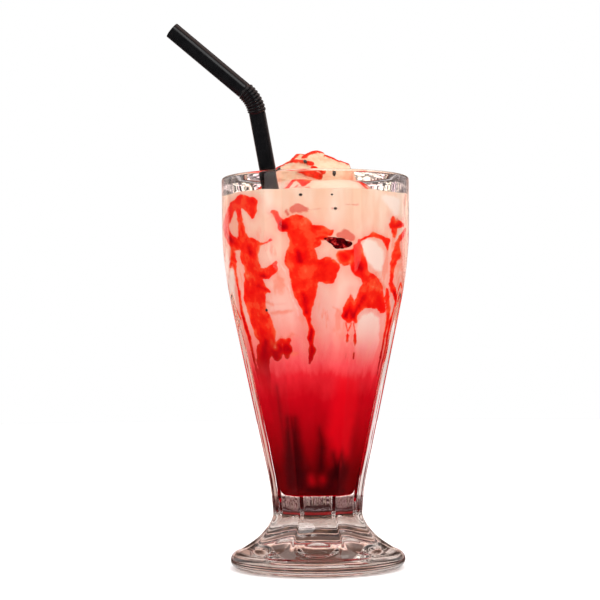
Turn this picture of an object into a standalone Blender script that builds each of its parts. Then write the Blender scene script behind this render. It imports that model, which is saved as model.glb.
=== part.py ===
"""Falooda in a fluted soda-fountain glass, with a black bendy straw.

The glass stands on its flat foot at the origin, +Z up. Its bowl is a plain band above eight
concave flutes, which run down to a waist and out over the foot as petals. Inside lie three
layers of drink: rose syrup, rose milk and melted ice cream. A scoop of ice cream with thick
syrup and basil seeds stands in the top one, and the straw leans on the lip at the front left.
Lengths are in metres.
"""

import math

import bmesh
import bpy
from mathutils import Matrix, Vector, noise

TAU = 2 * math.pi

# The glass
GLASS_HEIGHT = 0.183
RIM_RADIUS = 0.044
LIP_THICKNESS = 0.0027
FLUTES = 8
FLUTE_HALF_ANGLE = math.pi / FLUTES
FRONT = -math.pi / 2  # one flute faces this way
SIDES_PER_FLUTE = 6
FLUTE_HOLLOW = 0.0012  # how much deeper than a flat facet each flute is
FLUTE_FADE = 0.0005  # how wide the soft edge between a flute and what is round it is
FACET_Z = 0.118  # a height on the straight part of the flutes
FACET_RADIUS = 0.0381  # the flutes' distance from the axis there
FACET_SLOPE = 0.2056
WAIST_RADIUS = 0.0224
WAIST_Z = 0.0262
WAIST_ROUNDING = 0.003
SHOULDER_ROUNDING = 0.002
FLARE_PULLS = ((0.0235, 0.0185), (0.0320, 0.0115))  # (r, z) that bend the foot's upper curve
FOOT_RADIUS = 0.041
FOOT_EDGE_RADIUS = 0.0039
PETAL_END = 0.93  # of the way from the waist to the foot's round edge
CAVITY_FLOOR = 0.035
CAVITY_FLOOR_RADIUS = 0.0134
CAVITY_SLOPE = 0.207
CAVITY_CORNER = 0.004
CAVITY_BAND_RADIUS = RIM_RADIUS - LIP_THICKNESS
CAVITY_SHOULDER_ROUNDING = 0.003

# The drink
GAP = 0.0003
SYRUP_TOP = 0.092
MILK_TOP = 0.150
DRINK_LEVEL = 0.1737
LAYER_SIDES = 48

# The melted ice cream laps up round the scoop
LAP_HEIGHT = 0.0058
LAP_WIDTH = 0.0100
SURFACE_WAVE = 0.0007
SURFACE_SHARES = (1.0, 0.93, 0.86, 0.79, 0.72, 0.64, 0.55, 0.40)  # of the bowl's radius

# The scoop of ice cream
SCOOP_RADIUS = 0.0220
SCOOP_CENTRE = Vector((-0.0006, 0.0, 0.1717))
SCOOP_BASE = 0.1620
SCOOP_SIDES = 68
SCOOP_RINGS = 28
SCOOP_GAP = 0.00045
FOLDS = (  # two ends as longitude and latitude in degrees, and the height of the crest
    ((186, 22), (178, 70), 0.0011),
    ((178, 70), (95, 50), 0.0015),
    ((-150, 28), (-108, 62), 0.0010),
    ((-108, 62), (0, 82), 0.0014),
    ((0, 82), (62, 40), 0.0012),
    ((-38, 24), (0, 48), 0.0016),
    ((0, 48), (40, 34), 0.0014),
    ((-172, 34), (-97, 46), 0.0009),
    ((-75, 24), (-52, 44), 0.0008),
    ((150, 24), (118, 44), 0.0012),
    ((75, 22), (95, 40), 0.0010),
)
FOLD_HALF_WIDTH = 0.26  # on a ball of radius 1
LUMP_HEIGHT = 0.0004
DRIZZLES = (  # two ends as longitude and latitude in degrees
    ((206, 62), (150, 76)),
    ((-112, 60), (-20, 80)),
    ((176, 36), (-96, 46)),
    ((-12, 54), (14, 34)),
    ((-110, 31), (-82, 23)),
    ((-90, 38), (-78, 29)),
    ((118, 62), (100, 26)),
    ((72, 52), (45, 27)),
    ((150, 46), (162, 25)),
    ((-40, 70), (-25, 58)),
)
DRIZZLE_HEIGHT = 0.0009
DRIZZLE_HALF_WIDTH = 0.11
SEED_RADIUS = 0.0009
SEED_STRETCH = (1.35, 0.95, 0.8)
SEED_PROUD = 0.0002
SEED_PLACES = (  # longitude and latitude on the scoop, in degrees
    (-84, 33),
    (-62, 28),
    (-104, 47),
    (-20, 38),
    (60, 31),
    (140, 29),
    (200, 41),
)

# The straw
STRAW_RADIUS = 0.00375
STRAW_BORE = 0.00335
STRAW_SIDES = 14
STRAW_FOOT = Vector((0.0043, 0.0076, 0.0368))
STRAW_AT_LIP = Vector((-0.0217, -0.0303, 0.1853))
STRAW_BEND_START = 0.2092
STRAW_BEND_RADIUS = 0.0150
STRAW_END_DIRECTION = Vector((-0.762, 0.0, 0.647)).normalized()
STRAW_END_LENGTH = 0.0425
RIBS = 8
RIB_CREST = 0.0042
RIB_VALLEY = 0.0037
RIB_STEP = 0.001
CHANNEL_RADIUS = STRAW_RADIUS + 0.00035
STRAW_RISE = (STRAW_AT_LIP - STRAW_FOOT).normalized()
STRAW_HINGE = STRAW_RISE.cross(STRAW_END_DIRECTION).normalized()


def soft_min(a, b, width):
    """The lower of a and b, with the corner between them rounded over width."""
    h = max(width - abs(a - b), 0) / width
    return min(a, b) - h * h * width / 4


def soft_max(a, b, width):
    return -soft_min(-a, -b, width)


def facet_radius(z):
    """The distance from the axis of a flat flute's middle, on its straight line."""
    return FACET_RADIUS + FACET_SLOPE * (z - FACET_Z)


def body_radius(z):
    """The radius of the bowl at the ridges between the flutes."""
    ridge = facet_radius(z) / math.cos(FLUTE_HALF_ANGLE)
    cone = soft_max(ridge, WAIST_RADIUS, WAIST_ROUNDING)
    return soft_min(RIM_RADIUS, cone, SHOULDER_ROUNDING)


def cavity_radius(z):
    """The radius of the smooth inside of the bowl, above its floor's rounded corner."""
    cone = CAVITY_FLOOR_RADIUS + CAVITY_SLOPE * (z - CAVITY_FLOOR)
    return soft_min(CAVITY_BAND_RADIUS, cone, CAVITY_SHOULDER_ROUNDING)


def bezier(points, t):
    """A point of the cubic curve with these four control points."""
    a, b, c, d = (Vector(p) for p in points)
    s = 1 - t
    return a * s**3 + b * 3 * s * s * t + c * 3 * s * t * t + d * t**3


def arc(centre, radius, start, end, steps):
    """Points (r, z) on an arc, from start to end in degrees, both ends included."""
    angles = [math.radians(start + (end - start) * i / steps) for i in range(steps + 1)]
    return [
        (centre[0] + radius * math.cos(a), centre[1] + radius * math.sin(a))
        for a in angles
    ]


def spread(low, high, steps):
    """Evenly spaced values from low to high, both included."""
    return [low + (high - low) * i / steps for i in range(steps + 1)]


def link(name, mesh, material=None):
    obj = bpy.data.objects.new(name, mesh)
    bpy.context.scene.collection.objects.link(obj)
    if material:
        mesh.materials.append(material)
    return obj


def make_material(name, colour, roughness, metallic=0.0, transmission=0.0):
    material = bpy.data.materials.new(name)
    material.use_nodes = True
    shader = material.node_tree.nodes["Principled BSDF"]
    shader.inputs["Base Color"].default_value = (*colour, 1.0)
    shader.inputs["Roughness"].default_value = roughness
    shader.inputs["Metallic"].default_value = metallic
    shader.inputs["Transmission Weight"].default_value = transmission
    return material


def ring_solid(name, rings, material, closed=False):
    """One closed mesh through rings that all have as many points. Its two end rings are capped,
    or joined to each other if closed."""
    mesh = bpy.data.meshes.new(name)
    model = bmesh.new()
    loops = [[model.verts.new(p) for p in ring] for ring in rings]
    pairs = list(zip(loops, loops[1:]))
    if closed:
        pairs.append((loops[-1], loops[0]))
    for upper, lower in pairs:
        count = len(upper)
        for i in range(count):
            j = (i + 1) % count
            model.faces.new((upper[i], lower[i], lower[j], upper[j]))
    if not closed:
        cap_ring(model, loops[0])
        cap_ring(model, loops[-1])
    bmesh.ops.recalc_face_normals(model, faces=model.faces)
    bmesh.ops.triangulate(model, faces=model.faces)
    model.to_mesh(mesh)
    model.free()
    mesh.shade_smooth()
    mesh.set_sharp_from_angle(angle=math.radians(35))
    return link(name, mesh, material)


def cap_ring(model, loop):
    """A fan from the middle of a ring."""
    middle = model.verts.new(sum((v.co for v in loop), Vector()) / len(loop))
    for i, vertex in enumerate(loop):
        model.faces.new((vertex, loop[(i + 1) % len(loop)], middle))


def turned_rings(profile, sides):
    """Round rings for a profile of (r, z) pairs."""
    angles = [TAU * i / sides for i in range(sides)]
    return [
        [Vector((r * math.cos(a), r * math.sin(a), z)) for a in angles]
        for r, z in profile
    ]


# ---------------------------------------------------------------- the glass


def outer_profile():
    """Points (r, z) down the glass's ridges: the bowl, closest together where the flutes arch,
    then the foot's upper side, and its round edge."""
    heights = (
        spread(GLASS_HEIGHT - LIP_THICKNESS / 2, 0.166, 1)
        + spread(0.161, 0.125, 9)
        + spread(0.118, 0.036, 5)
        + spread(0.032, WAIST_Z, 2)
    )
    bowl = [(body_radius(z), z) for z in heights]
    edge_centre = (FOOT_RADIUS - FOOT_EDGE_RADIUS, FOOT_EDGE_RADIUS)
    flare = (bowl[-1], *FLARE_PULLS, (edge_centre[0], 2 * FOOT_EDGE_RADIUS))
    foot = [tuple(bezier(flare, t)) for t in spread(0, 1, 9)[1:-1]]
    return bowl, foot, arc(edge_centre, FOOT_EDGE_RADIUS, 90, -90, 8)


def ridge_depth(z):
    """How much nearer the axis a flute's middle is than the ridges, where flutes are full."""
    return body_radius(z) * (1 - math.cos(FLUTE_HALF_ANGLE)) + FLUTE_HOLLOW


def flute_depth(z, angle):
    """How far a flute cuts into the bowl, at this height and this angle from its middle. Its
    top end fades into the plain band as an arch."""
    reach = body_radius(z) - soft_min(
        RIM_RADIUS + FLUTE_FADE, facet_radius(z) - FLUTE_HOLLOW, FLUTE_FADE * 6
    )
    reach = min(reach, ridge_depth(z))
    rise = ridge_depth(z) * (angle / FLUTE_HALF_ANGLE) ** 2
    return soft_max(0.0, reach - rise, FLUTE_FADE)


def petal_depth(share, angle):
    """How far a petal cuts into the foot, where share runs from 0 at the waist to 1 at the
    edge. It takes up where its flute ends, and closes in an arch."""
    full = ridge_depth(WAIST_Z)
    depth = full * (1 - (share / PETAL_END) ** 4)
    rise = full * (angle / FLUTE_HALF_ANGLE) ** 2
    return soft_max(0.0, depth - rise, FLUTE_FADE)


def cavity_corner(inset):
    """Points (r, z) round the corner between the cavity's floor and its wall, or an inset in."""
    centre_z = CAVITY_FLOOR + CAVITY_CORNER
    centre = (cavity_radius(centre_z) - CAVITY_CORNER, centre_z)
    return arc(centre, CAVITY_CORNER - inset, -90, 0, 3)


def inner_profile():
    """Points (r, z) from the cavity's floor up its wall and over the round lip."""
    half_lip = LIP_THICKNESS / 2
    lip = arc((RIM_RADIUS - half_lip, GLASS_HEIGHT - half_lip), half_lip, 180, 0, 4)[:-1]
    heights = spread(0.048, 0.140, 3) + spread(0.148, 0.164, 3) + [0.1775]
    return cavity_corner(0.0) + [(cavity_radius(z), z) for z in heights] + lip


def cut_ring(r, z, inward, depths, angles):
    """A round ring whose points are moved along (r, z) vector inward, each by its depth."""
    ring = []
    for depth, angle in zip(depths, angles):
        radius = r + inward[0] * depth
        height = z + inward[1] * depth
        ring.append(Vector((radius * math.cos(angle), radius * math.sin(angle), height)))
    return ring


def make_glass(material):
    sides = FLUTES * SIDES_PER_FLUTE
    angles = [TAU * i / sides for i in range(sides)]
    half = FLUTE_HALF_ANGLE
    from_middle = [abs((a - FRONT + half) % (2 * half) - half) for a in angles]
    bowl, foot, edge = outer_profile()
    rings = turned_rings(inner_profile(), sides)
    for r, z in bowl:
        depths = [flute_depth(z, angle) for angle in from_middle]
        rings.append(cut_ring(r, z, (-1.0, 0.0), depths, angles))
    line = [bowl[-1], *foot, edge[0]]
    for i, (r, z) in enumerate(foot):
        along = (Vector(line[i + 2]) - Vector(line[i])).normalized()
        share = (i + 1) / (len(foot) + 1)
        depths = [petal_depth(share, angle) for angle in from_middle]
        rings.append(cut_ring(r, z, (along.y, -along.x), depths, angles))
    rings += turned_rings(edge, sides)
    return ring_solid("glass", rings, material)


# ---------------------------------------------------------------- the drink


def layer_profile(bottom, top, rings):
    """The outline of a layer that fills the bowl from bottom to top, a gap inside its wall."""
    return [(cavity_radius(z) - GAP, z) for z in spread(bottom, top, rings)]


def add_cut(target, cutter):
    cut = target.modifiers.new("cut_" + cutter.name, "BOOLEAN")
    cut.operation = "DIFFERENCE"
    cut.object = cutter
    cut.solver = "EXACT"


def as_cutter(obj):
    obj.hide_render = True
    obj.display_type = "WIRE"
    return obj


def make_syrup(material):
    profile = cavity_corner(GAP) + layer_profile(0.050, SYRUP_TOP, 2)
    return ring_solid("rose_syrup", turned_rings(profile, LAYER_SIDES), material)


def make_milk(material):
    profile = layer_profile(SYRUP_TOP + GAP, MILK_TOP, 4)
    return ring_solid("rose_milk", turned_rings(profile, LAYER_SIDES), material)


def smooth(share):
    """An even S between 0 and 1."""
    share = min(1.0, max(0.0, share))
    return share * share * (3 - 2 * share)


def surface_height(x, y):
    """The melted ice cream's uneven top, which rises to the scoop's side."""
    wave = noise.noise(Vector((x, y, 0.0)) * 90)
    away = math.hypot(x - SCOOP_CENTRE.x, y - SCOOP_CENTRE.y) - SCOOP_RADIUS
    return DRINK_LEVEL + SURFACE_WAVE * wave + LAP_HEIGHT * smooth(1 - away / LAP_WIDTH)


def make_melted(material):
    rings = turned_rings(layer_profile(MILK_TOP + GAP, DRINK_LEVEL - 0.0015, 3), LAYER_SIDES)
    for share in SURFACE_SHARES:
        radius = (cavity_radius(DRINK_LEVEL) - GAP) * share
        places = turned_rings([(radius, 0.0)], LAYER_SIDES)[0]
        rings.append([Vector((p.x, p.y, surface_height(p.x, p.y))) for p in places])
    return ring_solid("melted_ice_cream", rings, material)


# ---------------------------------------------------------------- the scoop


def direction(longitude, latitude):
    """The unit vector at a longitude and latitude in radians."""
    level = math.cos(latitude)
    return Vector((level * math.cos(longitude), level * math.sin(longitude), math.sin(latitude)))


def off_arc(place, ends):
    """How far a point of the unit ball lies from the arc between two places on it."""
    start, end = (direction(*map(math.radians, e)) for e in ends)
    along = end - start
    share = (place - start).dot(along) / along.length_squared
    return (place - (start + along * min(1.0, max(0.0, share))).normalized()).length


def fold_height(place):
    """The scoop's own folds: sharp crests where it curled up in the scoop, over soft lumps."""
    crests = [
        height * max(0.0, 1 - off_arc(place, ends) / FOLD_HALF_WIDTH) ** 1.4
        for *ends, height in FOLDS
    ]
    return max(crests) + LUMP_HEIGHT * noise.noise(place * 4.5)


def drizzle_height(place):
    """Thick syrup that lies in wandering strips over the crown."""
    wander = 1 + 0.35 * noise.noise(place * 6)
    away = min(off_arc(place, ends) for ends in DRIZZLES)
    return DRIZZLE_HEIGHT * smooth(1.6 - away / (DRIZZLE_HALF_WIDTH * wander))


def scoop_point(longitude, latitude):
    """A point of the scoop's surface, whose relief dies away towards the melted ice cream."""
    place = direction(longitude, latitude)
    above = SCOOP_RADIUS * place.z + SCOOP_CENTRE.z - (DRINK_LEVEL + LAP_HEIGHT)
    relief = fold_height(place) + drizzle_height(place)
    return SCOOP_CENTRE + place * (SCOOP_RADIUS + relief * smooth(above / 0.003))


def scoop_rings(place, steps):
    """Rings from the scoop's flat base to its crown, where place gives each of their points."""
    lowest = math.asin((SCOOP_BASE - SCOOP_CENTRE.z) / SCOOP_RADIUS)
    longitudes = [TAU * i / SCOOP_SIDES for i in range(SCOOP_SIDES)]
    return [
        [place(longitude, latitude) for longitude in longitudes]
        for latitude in spread(lowest, math.radians(86), steps)
    ]


def make_pocket():
    """The room that the scoop takes in the melted ice cream."""
    reach = SCOOP_RADIUS + SCOOP_GAP
    rings = scoop_rings(lambda lon, lat: SCOOP_CENTRE + direction(lon, lat) * reach, 12)
    return as_cutter(ring_solid("scoop_pocket", rings, None))


def unite(base, extras):
    """Joins the extras to the base with one union, and removes them."""
    group = bpy.data.collections.new("toppings")
    bpy.context.scene.collection.children.link(group)
    for extra in extras:
        bpy.context.scene.collection.objects.unlink(extra)
        group.objects.link(extra)
    union = base.modifiers.new("union", "BOOLEAN")
    union.operation = "UNION"
    union.operand_type = "COLLECTION"
    union.collection = group
    union.solver = "EXACT"
    bpy.context.view_layer.update()
    graph = bpy.context.evaluated_depsgraph_get()
    joined = bpy.data.meshes.new_from_object(base.evaluated_get(graph))
    base.modifiers.clear()
    base.data = joined
    for extra in extras:
        bpy.data.objects.remove(extra)
    bpy.data.collections.remove(group)


def make_seed(index, longitude, latitude):
    """A basil seed half sunk in the scoop, lying along it."""
    mesh = bpy.data.meshes.new(f"seed_{index}")
    model = bmesh.new()
    bmesh.ops.create_icosphere(model, subdivisions=1, radius=SEED_RADIUS)
    outward = direction(longitude, latitude)
    lie = outward.to_track_quat("Z", "Y").to_matrix().to_4x4()
    place = Matrix.Translation(scoop_point(longitude, latitude) + outward * SEED_PROUD)
    stretch = Matrix.Diagonal((*SEED_STRETCH, 1.0))
    model.transform(place @ lie @ Matrix.Rotation(index * 1.1, 4, "Z") @ stretch)
    model.to_mesh(mesh)
    model.free()
    return link(f"seed_{index}", mesh)


def make_scoop(material):
    scoop = ring_solid("ice_cream_scoop", scoop_rings(scoop_point, SCOOP_RINGS), material)
    seeds = [
        make_seed(i, math.radians(lon), math.radians(lat))
        for i, (lon, lat) in enumerate(SEED_PLACES)
    ]
    unite(scoop, seeds)
    return scoop


# ---------------------------------------------------------------- the straw


def straw_stations():
    """Centres, directions and outer radii along the straw, from its foot to its open end. Its
    bend is an arc whose ribs are crests and valleys by turns."""
    start = STRAW_FOOT + STRAW_RISE * ((STRAW_BEND_START - STRAW_FOOT.z) / STRAW_RISE.z)
    pivot = start + STRAW_HINGE.cross(STRAW_RISE) * STRAW_BEND_RADIUS
    bend = STRAW_RISE.angle(STRAW_END_DIRECTION)
    below = start - STRAW_RISE * RIB_STEP
    stations = [(STRAW_FOOT, STRAW_RISE, STRAW_RADIUS), (below, STRAW_RISE, STRAW_RADIUS)]
    steps = 2 * RIBS
    for i in range(steps + 1):
        turn = Matrix.Rotation(bend * i / steps, 3, STRAW_HINGE)
        radius = RIB_CREST if i % 2 else RIB_VALLEY
        stations.append((pivot + turn @ (start - pivot), turn @ STRAW_RISE, radius))
    end = stations[-1][0]
    for distance in (RIB_STEP, STRAW_END_LENGTH):
        centre = end + STRAW_END_DIRECTION * distance
        stations.append((centre, STRAW_END_DIRECTION, STRAW_RADIUS))
    return stations


def straw_ring(centre, along, radius):
    side = STRAW_HINGE.cross(along).normalized()
    angles = [TAU * i / STRAW_SIDES for i in range(STRAW_SIDES)]
    return [
        centre + radius * (side * math.cos(a) + STRAW_HINGE * math.sin(a)) for a in angles
    ]


def make_straw(material):
    """The tube, whose bore is smooth and so has a ring at only every third station of the bend."""
    stations = straw_stations()
    outside = [straw_ring(centre, along, radius) for centre, along, radius in stations]
    bore = stations[:2] + stations[2:-2:3] + stations[-2:]
    inside = [straw_ring(centre, along, STRAW_BORE) for centre, along, _ in reversed(bore)]
    return ring_solid("straw", outside + inside, material, closed=True)


def make_channel():
    """The room that the straw takes in the drink."""
    ends = (STRAW_FOOT - STRAW_RISE * 0.010, STRAW_FOOT + STRAW_RISE * 0.150)
    rings = [straw_ring(centre, STRAW_RISE, CHANNEL_RADIUS) for centre in ends]
    return as_cutter(ring_solid("straw_channel", rings, None))


def main():
    for obj in list(bpy.data.objects):
        bpy.data.objects.remove(obj)
    clear = make_material("clear_glass", (0.93, 0.95, 0.95), 0.03, transmission=0.9)
    deep_red = make_material("rose_syrup", (0.34, 0.0, 0.012), 0.15)
    pink = make_material("rose_milk", (0.93, 0.33, 0.30), 0.25)
    cream = make_material("melted_ice_cream", (0.95, 0.70, 0.58), 0.35)
    scoop_red = make_material("scoop_with_syrup", (0.90, 0.42, 0.30), 0.35)
    black = make_material("black_plastic", (0.012, 0.012, 0.014), 0.25)

    make_glass(clear)
    channel = make_channel()
    syrup = make_syrup(deep_red)
    milk = make_milk(pink)
    melted = make_melted(cream)
    for layer in (syrup, milk, melted):
        add_cut(layer, channel)
    add_cut(melted, make_pocket())
    make_scoop(scoop_red)
    make_straw(black)


main()
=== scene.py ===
"""The looks of a falooda: rose-syrup milk and ice cream in a fluted soda-fountain glass.

Every shape is a grid of points worked out with numpy. The glass, the drink, the scoop and the
straw stand for the CAD nodes of the same places, from the same named sizes. Lengths are in
metres, unless a name ends in _MM.
"""

import math

import bpy
import numpy as np
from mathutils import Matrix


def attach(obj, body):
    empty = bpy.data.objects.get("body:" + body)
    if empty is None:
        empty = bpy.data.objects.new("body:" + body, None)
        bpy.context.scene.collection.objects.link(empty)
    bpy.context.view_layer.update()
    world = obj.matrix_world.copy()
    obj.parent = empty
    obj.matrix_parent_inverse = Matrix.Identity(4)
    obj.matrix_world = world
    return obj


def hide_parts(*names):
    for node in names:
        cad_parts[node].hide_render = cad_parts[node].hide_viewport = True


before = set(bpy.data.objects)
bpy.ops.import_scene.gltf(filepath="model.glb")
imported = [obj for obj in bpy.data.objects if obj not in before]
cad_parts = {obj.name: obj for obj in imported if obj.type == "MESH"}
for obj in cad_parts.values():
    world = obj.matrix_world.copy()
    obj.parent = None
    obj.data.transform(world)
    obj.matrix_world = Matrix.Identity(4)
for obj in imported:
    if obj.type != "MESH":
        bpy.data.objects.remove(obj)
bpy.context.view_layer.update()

TAU = 2 * math.pi
MM = 0.001
FRONT = -math.pi / 2  # the longitude that faces the viewer

# The glass, as in the CAD
GLASS_HEIGHT = 0.183
RIM_RADIUS = 0.044
LIP_THICKNESS = 0.0027
FLUTES = 8
FLUTE_HALF_ANGLE = math.pi / FLUTES
FLUTE_HOLLOW = 0.0012
FLUTE_FADE = 0.0005
FACET_Z = 0.118
FACET_RADIUS = 0.0381
FACET_SLOPE = 0.2056
WAIST_RADIUS = 0.0224
WAIST_Z = 0.0262
WAIST_ROUNDING = 0.003
SHOULDER_ROUNDING = 0.002
FLARE_PULLS = ((0.0235, 0.0185), (0.0320, 0.0115))
FOOT_RADIUS = 0.041
FOOT_EDGE_RADIUS = 0.0039
PETAL_END = 0.93
CAVITY_FLOOR = 0.035
CAVITY_FLOOR_RADIUS = 0.0134
CAVITY_SLOPE = 0.207
CAVITY_CORNER = 0.004
CAVITY_BAND_RADIUS = RIM_RADIUS - LIP_THICKNESS
CAVITY_SHOULDER_ROUNDING = 0.003
GLASS_COLUMNS = 32 * FLUTES
GLASS_IOR = 1.49

# The drink, as in the CAD
DRINK_LEVEL = 0.1737
LAP_HEIGHT = 0.0058
LAP_WIDTH = 0.0100
SURFACE_WAVE = 0.0007
INTO_WALL = 0.00015  # the drink reaches this far into the glass, so that no air shows between
MENISCUS = 0.0007
MENISCUS_WIDTH = 0.0014
DRINK_COLUMNS = 330
CLOSER_AT_FRONT = 0.4  # how much closer together the columns stand at the front

# The scoop of ice cream, as in the CAD
SCOOP_RADIUS = 0.0220
SCOOP_CENTRE = np.array((-0.0006, 0.0, 0.1717))
SCOOP_BASE = 0.1620
FOLDS = (  # two ends as longitude and latitude in degrees, and the height of the crest
    ((186, 22), (178, 70), 0.0011),
    ((178, 70), (95, 50), 0.0015),
    ((-150, 28), (-108, 62), 0.0010),
    ((-108, 62), (0, 82), 0.0014),
    ((0, 82), (62, 40), 0.0012),
    ((-38, 24), (0, 48), 0.0016),
    ((0, 48), (40, 34), 0.0014),
    ((-172, 34), (-97, 46), 0.0009),
    ((-75, 24), (-52, 44), 0.0008),
    ((150, 24), (118, 44), 0.0012),
    ((75, 22), (95, 40), 0.0010),
)
FOLD_HALF_WIDTH = 0.26
DRIZZLES = (
    ((206, 62), (150, 76)),
    ((-112, 60), (-20, 80)),
    ((176, 36), (-96, 46)),
    ((-12, 54), (14, 34)),
    ((-110, 31), (-82, 23)),
    ((-90, 38), (-78, 29)),
    ((118, 62), (100, 26)),
    ((72, 52), (45, 27)),
    ((150, 46), (162, 25)),
    ((-40, 70), (-25, 58)),
)
NO_SYRUP = -9.0  # far outside every drizzle, in millimetres
DRIZZLE_HEIGHT = 0.0009
DRIZZLE_HALF_WIDTH = 0.062
SEED_RADIUS = 0.0009
SEED_STRETCH = (1.35, 0.95, 0.8)
SEED_PROUD = 0.0002
SEED_TURN = 1.1
SEED_PLACES = (
    (-84, 33),
    (-62, 28),
    (-104, 47),
    (-20, 38),
    (60, 31),
    (140, 29),
    (200, 41),
)

# The straw, as in the CAD
STRAW_RADIUS = 0.00375
STRAW_BORE = 0.00335
STRAW_WALL = 0.0003  # where the ribs' valleys squeeze the bore
STRAW_FOOT = np.array((0.0043, 0.0076, 0.0368))
STRAW_AT_LIP = np.array((-0.0217, -0.0303, 0.1853))
STRAW_BEND_START = 0.2092
STRAW_BEND_RADIUS = 0.0150
STRAW_END_DIRECTION = np.array((-0.762, 0.0, 0.647))
STRAW_END_LENGTH = 0.0425
RIBS = 8
RIB_CREST = 0.0042
RIB_VALLEY = 0.0037
STRAW_COLUMNS = 48

# The floor
FLOOR_RADIUS = 1.6
FLOOR_GAP = 0.0002  # so that the foot's flat underside and the floor don't share a plane

# The camera
EYE = np.array((0.0, -0.780, 0.102))
LENS = 99.4
SENSOR = 36.0
SHIFT = (-0.0275, 0.0838)
ROLL = math.radians(0.45)

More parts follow.
